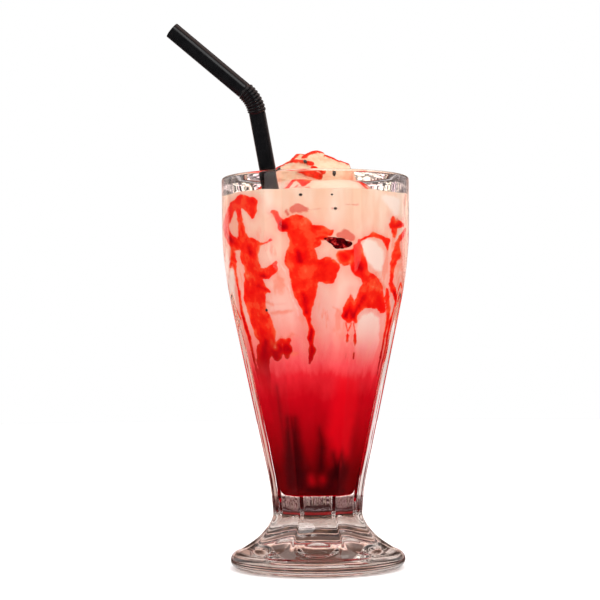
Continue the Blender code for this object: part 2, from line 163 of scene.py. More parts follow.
# Syrup on the inside of the glass. Each streak is a string of round spots, as they are seen
# from the camera: millimetres right of the axis, height above the table, and half width.
STREAKS_MM = {
    "left_dome": ((-37.6, 171, 1.9), (-34.5, 172.4, 2.9), (-31.3, 171.3, 3.3)),
    "left_outer_leg": ((-38.4, 170.5, 1.9), (-40, 167.5, 1.7), (-41.3, 164, 1.7)),
    "left_outer_foot": ((-41.3, 164, 1.7), (-42.4, 160.5, 1.8)),
    "left_knee": ((-42.4, 160.5, 1.8), (-41.7, 157, 1.7), (-39.8, 154, 1.9), (-38.3, 151.5, 1.8)),
    "left_inner_leg": ((-36, 169, 1.2), (-35.6, 164, 1.1), (-35, 160, 1.3), (-34.3, 155, 2.2)),
    "left_short_leg": ((-30.3, 170, 2.6), (-29.6, 167.3, 1.8), (-29.5, 164.8, 0.9)),
    "left_edge": ((-39.2, 150, 0.9), (-38.7, 145, 0.7), (-38, 139, 0.6), (-36.3, 131, 0.6)),
    "left_edge_low": ((-36.3, 131, 0.6), (-35, 121, 1.0), (-33.2, 114, 1.1), (-31.6, 109, 1.0)),
    "left_edge_end": ((-31.6, 109, 1.0), (-30, 101, 0.6), (-28.3, 94, 0.6), (-26.8, 87, 0.4)),
    "left_mass": ((-33.8, 154, 2.6), (-31.3, 151, 4.4), (-31.6, 146.5, 4.1), (-30.6, 142, 4.2)),
    "left_twig": ((-28, 152.3, 1.3), (-25.3, 152, 0.5), (-23, 152.6, 0.3), (-21.3, 154, 0.8)),
    "left_waist": ((-30.6, 142, 4.2), (-30, 138, 3.9), (-29.4, 133, 5.0)),
    "left_hook": ((-28, 138.6, 2.8), (-23.2, 138.8, 2.4), (-20.2, 140.4, 1.8), (-18.4, 143.6, 0.7)),
    "left_body": ((-29.4, 132, 5.2), (-29.4, 127, 4.9), (-28.4, 122, 4.4), (-26.4, 117, 5.0)),
    "left_nose": ((-25.3, 132, 2.0), (-22, 130.5, 0.8)),
    "left_trunk": ((-26.4, 117, 5.0), (-24.7, 111.5, 5.1), (-23.6, 107, 4.3), (-24.6, 103, 4.0)),
    "left_root": ((-25.2, 102, 3.6), (-25.7, 97.5, 2.6), (-24.8, 92, 2.4), (-23.6, 84, 2.0)),
    "left_slash": ((-20.4, 167.4, 0.8), (-18.6, 166.3, 1.2), (-17.4, 163.5, 1.3)),
    "low_hook": ((-22, 103, 1.8), (-18.9, 100.7, 2.4), (-17, 103.2, 1.9), (-15, 105.4, 1.7)),
    "low_hook_tip": ((-15, 105.4, 1.7), (-13, 107.6, 1.2)),
    "middle_lobe": ((-16.2, 162.6, 1.6), (-14.9, 160.6, 2.9)),
    "middle_blob": ((-12, 161.3, 3.3), (-8.4, 161.6, 4.5), (-5.6, 161.2, 3.4)),
    "middle_neck": ((-7.6, 157, 5.1), (-3.6, 156, 4.0)),
    "middle_stream": ((-6.6, 151, 5.4), (-6.5, 145.5, 7.0), (-6.2, 139.5, 6.6), (-5.6, 134, 6.2)),
    "stream_stub": ((-2.5, 152.5, 2.8), (0.6, 152.8, 2.0)),
    "middle_taper": ((-5.6, 134, 6.2), (-5.1, 129.5, 5.1), (-4.9, 125, 3.5), (-4.5, 120, 1.9)),
    "middle_drip": ((-4.5, 120, 1.9), (-3.7, 117, 1.1), (-2.9, 114, 0.9), (-2.2, 111, 1.6)),
    "middle_drip_low": ((-2.2, 111, 1.6), (-2.6, 108, 1.5), (-2.6, 104.6, 0.9), (-2.1, 102.2, 1.7)),
    "middle_bead": ((-2.1, 102.2, 1.7), (-2.8, 99.2, 1.2), (-3.2, 96.6, 0.5)),
    "middle_branch": ((-1, 158.4, 2.7), (3, 158, 2.1), (6.4, 157.4, 1.4), (8, 158.2, 0.6)),
    "shaded_pocket_stem": ((-0.5, 154.9, 0.8), (3, 155.2, 1.0), (6, 154.6, 0.8)),
    "heart": ((1.5, 141.5, 3.4), (5.4, 141.6, 4.3), (8.4, 141.4, 2.9)),
    "heart_low": ((5.4, 141.6, 4.3), (5.6, 138, 4.0), (2.4, 137.8, 3.2)),
    "right_flag": ((11.4, 147.4, 1.4), (14, 146, 2.8), (17.5, 146.6, 2.4)),
    "flag_tip": ((14, 146, 2.8), (14.6, 143, 1.2)),
    "right_stream": ((20.3, 153, 0.8), (19.8, 150, 1.9), (19.3, 146, 2.8), (20, 141.5, 3.6)),
    "right_knot": ((19.9, 139.4, 2.8), (19.4, 138, 1.2)),
    "right_slope": ((21.5, 139.5, 2.6), (24.3, 136.5, 2.8), (27.5, 133.5, 3.2)),
    "right_mass": ((23.6, 131, 3.6), (28, 130.5, 3.9), (29.5, 125, 2.8), (31.3, 121.5, 1.8)),
    "right_body": ((23, 127.5, 4.2), (21, 124.5, 3.4), (18.8, 121.5, 2.5), (17.2, 118.8, 1.7)),
    "right_arch": ((24, 126, 3.8), (27.5, 125.5, 3.4)),
    "right_tongue": ((17.2, 118.8, 1.7), (15.4, 116, 0.9)),
    "right_brow": ((20.7, 153, 0.5), (23.6, 154.7, 0.5), (27.3, 156.4, 1.0), (31.5, 155, 0.9)),
    "far_limb": ((31.5, 155, 0.9), (33.4, 153.2, 1.4), (33.7, 149.5, 0.5)),
    "far_blob": ((36.9, 160.2, 1.9), (39.3, 161, 1.7), (41, 160.6, 1.0)),
    "far_horn": ((36.8, 164.2, 0.7), (36.6, 162, 1.0)),
    "far_tail": ((37, 158, 1.2), (37, 155, 0.7)),
    "edge_streak": ((42.2, 158.6, 0.8), (40.3, 155.3, 0.9), (38.6, 152, 0.8), (37.4, 146.8, 1.2)),
    "edge_drip": ((37.4, 146.8, 1.2), (36.4, 143, 1.0), (35.6, 137.5, 0.6), (35.4, 133.5, 0.9)),
    "edge_blot": ((35.4, 133.5, 0.9), (36.3, 131, 1.4), (37.6, 127.5, 1.3), (38.2, 122.5, 0.6)),
    "right_line": ((33.5, 131, 0.6), (33.3, 127, 1.0), (34, 122, 1.0), (33.5, 116, 0.9)),
    "right_line_low": ((33.5, 116, 0.9), (32, 109.5, 0.5), (30, 99.5, 0.5), (28.4, 91, 0.4)),
    "right_drip": ((15.3, 112, 0.3), (15.5, 109.5, 0.8), (15.2, 106.8, 0.8), (14.9, 104.5, 0.3)),
    "right_drip_low": ((14.6, 101.3, 0.5), (14.2, 98.8, 0.4)),
    "small_line": ((17.6, 115.3, 0.4), (18, 111.8, 0.3)),
}
POCKETS_MM = {  # pale places inside the streaks
    "left_pocket": ((-34.9, 143, 0.8), (-34.7, 140.5, 1.0)),
    "trunk_pocket": ((-29.6, 109, 0.7), (-28.2, 106.8, 1.0)),
}
THIN_MM = {  # where a streak is thin and lets the milk through
    "dome_thin": ((-35, 175, 1.2), (-31, 174.6, 1.2)),
    "waist_thin": ((-33.5, 138, 1.2), (-29.4, 137.3, 1.4)),
    "trunk_thin": ((-30, 116, 1.0), (-28.6, 111, 0.8)),
    "blob_thin": ((-10, 163.5, 2.0), (-6, 163, 2.2), (-8, 158.5, 2.2)),
    "branch_thin": ((1.5, 158.6, 1.5), (7, 157.8, 1.2)),
    "stream_left": ((-13, 147, 1.2), (-12.2, 140, 1.0)),
    "stream_gap": ((-5.3, 142, 0.9), (-4.8, 139.5, 1.0)),
    "heart_top": ((1.5, 145.2, 1.1), (8, 145, 1.2)),
    "slope_thin": ((24, 137.4, 1.2), (29.5, 133.8, 2.2)),
    "mass_thin": ((24.5, 133.5, 1.0), (31, 130, 1.8)),
}
SHADES_MM = {  # darker places low in the drink
    "black_band": ((-10.2, 71, 0.2), (-10.0, 64, 1.6), (-9.6, 52, 3.0), (-8.4, 40, 3.2)),
    "maroon_middle": ((1.0, 66, -0.2), (2.4, 56, 1.4), (1.4, 47, 1.4)),
    "maroon_floor": ((-5, 37, 1.2), (3, 36, 1.4), (9, 37, 1.4)),
    "dark_right": ((11.6, 54, 0.8), (12.2, 46, 2.6), (10, 38, 3.0)),
    "left_dusk": ((-19, 86, -1.0), (-17, 70, -0.6), (-15, 55, -0.2), (-14, 44, 0.2)),
}
GLOWS_MM = {  # brighter red where light comes through
    "right_glow": ((17, 88, 3.4), (15.5, 75, 4.6), (13, 64, 4.4), (9.6, 55, 2.4), (7.4, 49, 0.6)),
    "low_glow_left": ((-3.4, 42.5, 0.9), (-2.8, 40.6, 0.9)),
    "low_glow_right": ((2.4, 41.6, 0.7), (3.2, 41.0, 0.7)),
}
DULL_MM = {  # syrup stirred into the cream, and thin brown lines of it
    "upper_dome": ((-10.8, 168.3, 1.6), (-7.8, 169.4, 2.3), (-4.2, 168.3, 1.4)),
    "purple_spot": ((-13.8, 167.6, 0.9), (-12.6, 166.2, 0.9)),
    "shaded_pocket_dome": ((11, 156, 1.5), (14, 156.4, 2.3), (17, 155, 1.6)),
    "brown_line": ((13, 170.8, 0.1), (18.6, 170.3, 0.2), (20.2, 170.3, 0.5), (21.2, 170.2, 0.1)),
    "long_line": ((-3, 168.4, 0.1), (4, 168.4, 0.1), (9, 168.5, 0.5), (11, 168.2, 0.1)),
    "far_dull": ((36, 163, 0.8), (38.5, 163.2, 0.6)),
}
WASHES_MM = {  # thin orange stains
    "hook_wash": ((-18.5, 139.5, 0.8), (-17.2, 135.5, 1.4), (-15.8, 129, 0.7)),
    "slash_wash": ((-22.3, 166.8, 0.4), (-20, 165.2, 0.9), (-23.5, 163.5, 0.2)),
    "left_patch": ((-24, 125.6, 1.0), (-20.6, 124.6, 1.1), (-18, 125, 0.4)),
    "left_smudge": ((-21, 120.6, 0.9), (-16, 120.8, 1.2), (-11, 121.2, 0.8)),
    "hook_smudge": ((-13.5, 108, 0.8), (-11.5, 110.3, 1.0), (-8.5, 109.5, 0.4)),
    "smile": ((-13.4, 102.6, 0.7), (-11, 100.9, 1.0), (-8.4, 101.6, 0.5)),
    "tick": ((7.9, 122.6, 0.5), (10.3, 121.3, 0.8), (11, 118.8, 0.8), (13.2, 121.8, 0.2)),
    "right_fringe": ((26, 136.5, 1.4), (29.6, 134.6, 1.8), (32, 131.5, 1.4)),
    "far_orange": ((42.5, 175.5, 0.9), (42.2, 171, 0.8), (41.9, 166, 0.6), (41, 163, 0.5)),
    "edge_orange": ((41.4, 154, 0.7), (40, 148, 0.9), (39, 142, 0.9), (37.8, 136, 0.8)),
    "line_orange": ((34.6, 124, 0.8), (34.4, 118, 1.0), (33.2, 112, 0.8)),
}
WHITES_MM = {  # plain vanilla that hasn't taken up any syrup
    "upper_right": ((33, 173.5, 2.0), (37, 171, 3.4), (38, 166.5, 1.8)),
    "right_oval": ((26.3, 150.3, 4.0), (28, 147, 4.6), (29.2, 143.4, 3.4), (30.3, 140.5, 1.4)),
    "panel": ((24.8, 114, 6.2), (24, 107, 6.8), (23, 98, 5.0)),
    "gap": ((-16, 142, 0.2), (-12.6, 131, 0.35), (-9.2, 122, 0.3), (-7, 114, 0.1)),
    "left_band": ((-42, 150, 0.8), (-41.6, 143, 1.4), (-40.4, 135, 1.8), (-38.8, 126, 1.8)),
    "left_band_low": ((-38.8, 126, 1.8), (-37, 118, 1.6), (-34.8, 108, 1.4)),
    "far_thread": ((42.4, 160.4, 0.6), (39.8, 157, 0.7), (37.8, 152.6, 0.5), (36.2, 147, 0.4)),
}
CORE_SPOTS_MM = {  # where the streaks are thickest
    "knee_core": ((-42.6, 161, 0.8), (-41.6, 157, 0.8), (-39, 152.8, 1.0)),
    "left_core": ((-31.5, 151.5, 1.0), (-31, 148.5, 0.8)),
    "hook_core": ((-25.8, 137.8, 0.9), (-24.4, 137.6, 0.9)),
    "body_core": ((-27.5, 133, 0.8), (-24, 131.5, 1.2)),
    "edge_core": ((-35, 121, 0.7), (-33.4, 115, 0.8), (-31.8, 109.5, 0.7)),
    "root_core": ((-23.6, 106.5, 1.4), (-24.2, 101.5, 2.2), (-24.3, 95, 1.6), (-22.8, 89, 1.2)),
    "low_hook_core": ((-20.8, 102, 0.8), (-18.7, 100.5, 1.4), (-16.6, 103.4, 1.0)),
    "low_hook_end": ((-16.6, 103.4, 1.0), (-14.8, 105.4, 0.7)),
    "lobe_core": ((-16.4, 162.2, 1.0), (-14.9, 160.2, 1.8)),
    "stream_core": ((-8.4, 148.5, 0.8), (-7.4, 144, 0.8)),
    "taper_core": ((-6, 129, 0.8), (-5.2, 125, 1.2), (-4.7, 120.5, 0.8)),
    "drip_core": ((-3.6, 117, 0.6), (-2.9, 114, 0.5), (-2.3, 111, 1.1), (-2.7, 107.5, 1.0)),
    "bead_core": ((-2.6, 104.6, 0.4), (-2.1, 102.2, 1.2), (-2.8, 99, 0.8)),
    "stem_core": ((0.5, 155, 0.4), (5, 154.9, 0.6)),
    "flag_core": ((12, 147.4, 0.6), (14, 145.4, 1.3)),
    "right_core": ((19.4, 145, 0.6), (20, 141, 1.0)),
    "mass_core": ((22.5, 128, 1.0), (20, 123.6, 1.0), (17, 118.5, 0.9)),
    "far_core": ((38, 160, 0.6), (40.2, 160.8, 0.8)),
    "blot_core": ((36.4, 130.5, 0.8), (37.8, 126.5, 0.8)),
    "line_core": ((33.7, 119, 0.6), (31.4, 107, 0.3), (29.4, 96.5, 0.3)),
}

# How the syrup lies
SYRUP_DEPTH = 0.0010  # a full streak
THIN_DEPTH = 0.0001  # what is left of it where it is thin
THIN_SHARE = 0.7
CORE_GAIN = 1.2
CORE_SPREAD = 0.0009
JOIN_WIDTH = 0.0008  # how softly neighbouring spots of a streak join
EDGE_WIDTH = 0.0006
LEAST_FACING = 0.4
WANDER = ((0.0005, 0.0080), (0.00035, 0.0022))  # how far streaks wander, and over what length
TOP_AS_WALL = 0.8  # streaks go on over the top, as if it were this much of a wall
BACK_TURN = 0.21  # the streaks at the back are turned and lower
BACK_DROP = 0.004
THIN_FADE = (0.0008, 0.0022)  # how far outside a mark its shade starts, and over what width
SHADE_FADE = (0.0034, 0.0062)
GLOW_FADE = (0.0030, 0.0060)
SHADE_STRENGTH = 0.97
GLOW_STRENGTH = 0.62

# A dark slice of painted shade, where an air pocket lies between the ice cream and the glass, and
# the seeds against the glass
SHADED_POCKET_MM = ((3.8, 154.6), (8.4, 154.4), (11.2, 150.2), (17.2, 152.0))  # as the streaks are
SHADED_POCKET_HALF_WIDTH = 0.0022
SHADED_POCKET_PROUD = 0.0001
SHADED_POCKET_DEEP = 0.0035
WALL_SEEDS_MM = (
    (-6.9, 175.2, 0.80),
    (7.8, 175.2, 0.55),
    (9.4, 168.6, 0.75),
    (-23.4, 121.7, 0.85),
)
WALL_SEED_DEEP = 0.0004
WALL_SEED_TALL = 0.8  # of its half width


# ---------------------------------------------------------------- numpy tools


def soft_min(a, b, width):
    """The lower of a and b less h squared times a quarter of width, where h falls evenly from 1
    where they are equal to 0 where they are width apart."""
    h = np.maximum(width - np.abs(a - b), 0) / width
    return np.minimum(a, b) - h * h * width / 4


def soft_max(a, b, width):
    """soft_min turned upside down."""
    return -soft_min(-a, -b, width)


def smooth(share):
    """An even S: three squares less two cubes of share, held between 0 and 1."""
    share = np.clip(share, 0, 1)
    return share * share * (3 - 2 * share)


def scrambled(corner, seed):
    """A value from -1 to 1 for each whole-number corner, the same in each run: its three numbers
    are multiplied by large odd numbers, added, and shifted over themselves in 32 bits."""
    whole = corner.astype(np.int64).astype(np.uint32)
    odd = np.array((374761393, 668265263, 2246822519), np.uint32)
    n = (whole * odd).sum(axis=-1, dtype=np.uint32) + np.uint32(seed * 40503 + 17)
    n = (n ^ (n >> np.uint32(13))) * np.uint32(1274126177)
    n = n ^ (n >> np.uint32(16))
    return n / 2147483647.5 - 1


def rough(points, size, seed=0, octaves=2):
    """Soft noise from -1 to 1. Space is cut into cubes of this size with a scrambled value at
    each corner, blended by an even S along each axis. Each octave is half as large and strong."""
    total, reach = 0.0, 0.0
    for octave in range(octaves):
        place = points * (2**octave / size)
        corner = np.floor(place)
        blend = smooth(place - corner)
        value = 0.0
        for step in np.ndindex(2, 2, 2):
            share = np.prod(np.where(step, blend, 1 - blend), axis=-1)
            value = value + share * scrambled(corner + step, seed + octave)
        total = total + value * 0.5**octave
        reach += 0.5**octave
    return total / reach


def unit(vectors):
    """Vectors divided by their lengths."""
    return vectors / np.linalg.norm(vectors, axis=-1, keepdims=True)


def direction(longitude, latitude):
    """The unit vector at a longitude and latitude: cosines and sines of both."""
    level = np.cos(latitude)
    return np.stack((level * np.cos(longitude), level * np.sin(longitude), np.sin(latitude)), -1)


def arc(centre, radius, start, end, count):
    """Points (r, z) along an arc about centre, from start to end in degrees."""
    angle = np.radians(np.linspace(start, end, count))
    return np.stack((centre[0] + radius * np.cos(angle), centre[1] + radius * np.sin(angle)), -1)


def cubic(points, t):
    """A cubic Bezier curve: four control points times the terms of (1 - t) and t cubed."""
    s = 1 - t
    shares = s**3, 3 * s * s * t, 3 * s * t * t, t**3
    return sum(point * share for point, share in zip(points, shares))


def turned(profile, longitudes):
    """A grid of points: each (r, z) of the profile carried round the axis."""
    r, z = profile[:, 0, None], profile[:, 1, None]
    return np.stack((r * np.cos(longitudes), r * np.sin(longitudes), z + 0 * longitudes), -1)


def around(columns):
    """Evenly spaced longitudes, one for each column."""
    return np.arange(columns) * TAU / columns


def seed_ball():
    """A small ball of radius 1: rings of latitude, without its poles."""
    latitude = np.linspace(-math.pi / 2, math.pi / 2, 9)[1:-1, None]
    return direction(around(12)[None, :] + 0 * latitude, latitude + np.zeros(12))


def grid_mesh(name, points, first=None, last=None, ring=False):
    """A closed mesh over a grid whose columns run round and meet. A first or last point closes
    that end with a fan, and a ring joins the last row to the first. Faces point outwards: if
    the volume, which is a sixth of the sum of a . (b x c) over its triangles, is below 0, their
    corners are taken backwards."""
    rows, columns = points.shape[:2]
    index = np.arange(rows * columns).reshape(rows, columns)
    if ring:
        index = np.vstack((index, index[:1]))
    beside = np.roll(index, -1, axis=1)
    quads = np.stack((index[:-1], index[1:], beside[1:], beside[:-1]), -1).reshape(-1, 4)
    vertices = points.reshape(-1, 3)
    fans = []
    for pole, edge, forward in ((first, 0, True), (last, -1, False)):
        if pole is not None:
            centre = np.full(columns, len(vertices))
            vertices = np.vstack((vertices, pole))
            sides = (index[edge], beside[edge]) if forward else (beside[edge], index[edge])
            fans.append(np.stack((centre, *sides), -1))
    triangles = np.vstack([quads[:, [0, 1, 2]], quads[:, [0, 2, 3]], *fans])
    a, b, c = (vertices[triangles[:, i]] for i in range(3))
    if np.einsum("ij,ij->", a, np.cross(b, c)) < 0:
        quads = quads[:, ::-1]
        fans = [fan[:, ::-1] for fan in fans]
    faces = quads.tolist() + [face for fan in fans for face in fan.tolist()]
    mesh = bpy.data.meshes.new(name)
    mesh.from_pydata(vertices.tolist(), [], faces)
    mesh.shade_smooth()
    return mesh


def corners_of(mesh):
    """All the mesh's points as one array."""
    flat = np.empty(len(mesh.vertices) * 3, np.float32)
    mesh.vertices.foreach_get("co", flat)
    return flat.reshape(-1, 3).astype(float)


def keep_values(mesh, name, values):
    """One number for each point of the mesh, which a material reads by this name."""
    attribute = mesh.attributes.new(name, "FLOAT", "POINT")
    attribute.data.foreach_set("value", values.astype(np.float32))


def add_piece(name, mesh, material, slot, *nodes):
    """A piece of the part that stands for these CAD nodes."""
    piece = bpy.data.objects.new(name, mesh)
    bpy.context.scene.collection.objects.link(piece)
    mesh.materials.append(material)
    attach(piece, "root")
    if nodes:
        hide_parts(*nodes)
    return piece


# ---------------------------------------------------------------- shader tools


def feed(tree, socket, value):
    """Links value to the socket if it is another socket, or sets it as a plain value. A plain
    colour is red, green and blue, and is opaque."""
    if isinstance(value, bpy.types.NodeSocket):
        tree.links.new(value, socket)
    else:
        socket.default_value = (*value, 1.0) if socket.type == "RGBA" else value


def add_node(tree, kind, inputs=None, **settings):
    """A shader node of this kind, with its settings and its inputs fed."""
    node = tree.nodes.new("ShaderNode" + kind)
    for name, value in settings.items():
        setattr(node, name, value)
    for name, value in (inputs or {}).items():
        feed(tree, node.inputs[name], value)
    return node


def maths(tree, operation, *values):
    """One sum of the Math node."""
    node = add_node(tree, "Math", dict(enumerate(values)), operation=operation)
    return node.outputs[0]


def times(tree, *values):
    """The values multiplied together, from the first to the last."""
    product = values[0]
    for value in values[1:]:
        product = maths(tree, "MULTIPLY", product, value)
    return product


def add_times(tree, value, factor, more):
    """The value times the factor, and more."""
    return maths(tree, "MULTIPLY_ADD", value, factor, more)


def remap(tree, value, low, high, to_low=0.0, to_high=1.0, curve="SMOOTHSTEP"):
    """An even S from to_low, where value is low, to to_high, where it is high."""
    ends = {"From Min": low, "From Max": high, "To Min": to_low, "To Max": to_high}
    node = add_node(tree, "MapRange", {"Value": value, **ends}, interpolation_type=curve)
    return node.outputs["Result"]


def window(tree, value, low, high, soft):
    """1 between low and high, with an even S this wide at both edges."""
    rise = remap(tree, value, low - soft, low)
    fall = remap(tree, value, high, high + soft, 1.0, 0.0)
    return maths(tree, "MULTIPLY", rise, fall)


def noise(tree, place, scale, detail=2.0, roughness=0.5, result="Fac"):
    """Soft noise about 0.5, whose lumps are about 1 / scale wide."""
    inputs = {"Vector": place, "Scale": scale, "Detail": detail, "Roughness": roughness}
    return add_node(tree, "TexNoise", inputs).outputs[result]


def blend(tree, share, under, over):
    """The colour under, covered by share of the colour over."""
    node = tree.nodes.new("ShaderNodeMix")
    node.data_type = "RGBA"
    for index, value in ((0, share), (6, under), (7, over)):
        feed(tree, node.inputs[index], value)
    return node.outputs[2]


def mixed(tree, share, under, over):
    """The number under, replaced by share of the number over."""
    return add_node(tree, "Mix", {0: share, 2: under, 3: over}).outputs[0]


def ramp(tree, value, *stops):
    """A row of colours along value, each stop a place and a colour."""
    node = add_node(tree, "ValToRGB", {"Fac": value})
    elements = node.color_ramp.elements
    while len(elements) < len(stops):
        elements.new(1.0)
    for element, (place, colour) in zip(elements, stops):
        element.position = place
        element.color = (*colour, 1.0)
    return node.outputs["Color"]


def new_material(name, **values):
    """A material with one Principled shader, whose plain values are set here."""
    material = bpy.data.materials.new(name)
    material.use_nodes = True
    shader = material.node_tree.nodes["Principled BSDF"]
    for key, value in values.items():
        shader.inputs[key.replace("_", " ")].default_value = value
    return material, material.node_tree, shader


def object_place(tree):
    """Object coordinates: metres from the middle of the foot's underside."""
    return add_node(tree, "TexCoord").outputs["Object"]


def axis_of(tree, place, axis):
    """One of a vector's three numbers."""
    return add_node(tree, "SeparateXYZ", {0: place}).outputs[axis]


def kept_value(tree, name):
    """The numbers that keep_values gave the mesh under this name."""
    return add_node(tree, "Attribute", attribute_name=name).outputs["Fac"]


def new_group(name, inputs, outputs):
    """An empty node group with these named sockets, and its two end nodes."""
    group = bpy.data.node_groups.new(name, "ShaderNodeTree")
    for socket, kind in inputs:
        group.interface.new_socket(socket, in_out="INPUT", socket_type="NodeSocket" + kind)
    for socket, kind in outputs:
        group.interface.new_socket(socket, in_out="OUTPUT", socket_type="NodeSocket" + kind)
    return group, group.nodes.new("NodeGroupInput"), group.nodes.new("NodeGroupOutput")


def use_group(tree, group, **inputs):
    """The outputs of a node group, placed with these inputs."""
    node = tree.nodes.new("ShaderNodeGroup")
    node.node_tree = group
    for name, value in inputs.items():
        feed(tree, node.inputs[name], value)
    return node.outputs


# ---------------------------------------------------------------- materials


def syrup_group():
    """Rose syrup lying on milk or ice cream. Depth is in millimetres, below 0 where there is
    none. Cover is where it lies, and Colour runs from orange where it is thin to dark red."""
    outputs = (("Colour", "Color"), ("Cover", "Float"))
    group, start, end = new_group("rose_syrup_film", (("Depth", "Float"),), outputs)
    place = object_place(group)
    depth = start.outputs["Depth"]
    edge = add_times(group, noise(group, place, 480.0, 4.0, 0.6), 1.2, depth)
    cloud = remap(group, noise(group, place, 150.0, 4.0, 0.55), 0.32, 0.70, 0.08, 0.36)
    colour = ramp(
        group,
        add_times(group, depth, 0.13, cloud),
        (0.07, (1.0, 0.260, 0.130)),
        (0.17, (1.0, 0.090, 0.030)),
        (0.30, (0.99, 0.024, 0.008)),
        (0.48, (0.90, 0.005, 0.004)),
        (0.66, (0.60, 0.001, 0.005)),
        (0.90, (0.28, 0.0, 0.004)),
    )
    group.links.new(colour, end.inputs["Colour"])
    group.links.new(remap(group, edge, 0.40, 0.90), end.inputs["Cover"])
    return group


SYRUP = syrup_group()


def glass_material():
    """Clear pressed glass, with painted shade in its colour: a brown tint low down, where it is
    thick, that darkens the foot, a dark band round the solid neck, and dark edges where it is
    seen edge on. It has the faint unevenness that a mould leaves."""
    material, tree, shader = new_material(
        "clear_pressed_glass", Transmission_Weight=1.0, IOR=GLASS_IOR, Roughness=0.0
    )
    clear, brown, neck_shade, dark = (
        (0.985, 0.992, 0.99),
        (0.84, 0.76, 0.71),
        (0.21, 0.18, 0.18),
        (0.10, 0.06, 0.055),
    )
    place = object_place(tree)
    height = axis_of(tree, place, "Z")
    # Painted shade: the foot is tinted brown and darker, and the solid neck much darker
    colour = blend(tree, remap(tree, height, 0.028, 0.026), clear, brown)
    colour = blend(tree, window(tree, height, 0.0265, 0.0340, 0.001), colour, neck_shade)
    # Painted shade: the glass darkens towards its edges, where it is seen edge on
    grazing = add_node(tree, "LayerWeight", {"Blend": 0.5}).outputs["Facing"]
    colour = blend(tree, remap(tree, grazing, 0.76, 0.93, 0.0, 0.9), colour, dark)
    tree.links.new(colour, shader.inputs["Base Color"])
    waves = noise(tree, place, 55.0, 1.0)
    bump = add_node(tree, "Bump", {"Height": waves, "Strength": 0.12, "Distance": 0.002})
    tree.links.new(bump.outputs["Normal"], shader.inputs["Normal"])
    return material


def drink_material():
    """Milk whose colour runs from deep red syrup at the bottom up through pink to cream, with
    the syrup's streaks over it. Only its top, open to the air, has a wet coat. Its underside
    glows red as painted light, an emission that puts red light and reflections into the foot."""
    material, tree, shader = new_material(
        "rose_milk_with_syrup",
        Specular_IOR_Level=0.0,
        Roughness=0.6,
        Coat_Roughness=0.12,
        Emission_Strength=1.0,
    )
    place = object_place(tree)
    height = axis_of(tree, place, "Z")
    drawn = add_node(tree, "Mapping", {"Vector": place, "Scale": (1.0, 1.0, 0.28)}).outputs[0]
    raised = add_times(tree, noise(tree, drawn, 190.0, 3.0, 0.6), 0.014, height)
    raised = add_times(tree, noise(tree, place, 60.0, 3.0, 0.6), 0.010, raised)
    milk = ramp(
        tree,
        remap(tree, raised, 0.047, 0.187, curve="LINEAR"),
        (0.08, (0.13, 0.0, 0.001)),
        (0.19, (0.34, 0.0, 0.003)),
        (0.32, (0.58, 0.001, 0.008)),
        (0.396, (0.80, 0.018, 0.030)),
        (0.435, (0.92, 0.078, 0.090)),
        (0.50, (0.95, 0.20, 0.185)),
        (0.54, (0.95, 0.33, 0.27)),
        (0.607, (0.95, 0.45, 0.38)),
        (0.94, (0.95, 0.60, 0.42)),
    )
    # Soft upright tones of ice cream, the tan of its open top, and pink haze near the streaks
    tones = remap(tree, noise(tree, drawn, 75.0, 3.0, 0.6), 0.38, 0.66, 0.0, 0.32)
    upper = remap(tree, height, 0.100, 0.125)
    tones = times(tree, tones, upper, remap(tree, height, 0.150, 0.168, 1.0, 2.6))
    milk = blend(tree, tones, milk, (1.0, 0.82, 0.68))
    milk = blend(tree, times(tree, kept_value(tree, "open"), 0.7), milk, (0.70, 0.46, 0.34))
    depth = kept_value(tree, "syrup")
    haze = times(
        tree,
        remap(tree, depth, -4.0, 0.6, 0.0, 0.60),
        noise(tree, place, 150.0, 3.0),
        remap(tree, height, 0.090, 0.114),
    )
    milk = blend(tree, haze, milk, (0.95, 0.16, 0.11))
    smears = remap(tree, noise(tree, drawn, 170.0, 4.0, 0.62), 0.55, 0.66, 0.0, 0.55)
    smears = times(tree, smears, window(tree, height, 0.108, 0.148, 0.015))
    milk = blend(tree, smears, milk, (0.95, 0.22, 0.14))

    # The marks that lie under the syrup, their edges made ragged
    ragged = noise(tree, place, 300.0, 4.0, 0.65)

    def mark(name, reach, full, strength):
        edge = add_times(tree, ragged, reach, kept_value(tree, name))
        return remap(tree, edge, 0.9, full, 0.0, strength)

    white = times(tree, mark("white", 2.5, 2.6, 0.9), remap(tree, height, 0.092, 0.128))
    milk = blend(tree, white, milk, (1.0, 0.84, 0.74))
    milk = blend(tree, mark("wash", 2.6, 2.6, 0.55), milk, (0.90, 0.17, 0.08))
    milk = blend(tree, mark("dull", 2.4, 1.9, 0.75), milk, (0.76, 0.075, 0.050))
    milk = blend(tree, kept_value(tree, "shade"), milk, (0.022, 0.0, 0.001))
    milk = blend(tree, kept_value(tree, "glow"), milk, (0.86, 0.002, 0.010))

    # The streaks, which darken low down and are lost in the syrup at the bottom
    film = use_group(tree, SYRUP, Depth=depth)
    sunk = remap(tree, height, 0.114, 0.096, 0.0, 0.9)
    syrup = blend(tree, sunk, film["Colour"], (0.42, 0.0, 0.004))
    cover = times(tree, film["Cover"], remap(tree, height, 0.078, 0.100))
    tree.links.new(blend(tree, cover, milk, syrup), shader.inputs["Base Color"])
    tree.links.new(kept_value(tree, "open"), shader.inputs["Coat Weight"])
    # Painted light: the underside glows red, though it is no lamp
    under = blend(tree, kept_value(tree, "under"), (0.0, 0.0, 0.0), (0.75, 0.0, 0.010))
    tree.links.new(under, shader.inputs["Emission Color"])
    return material


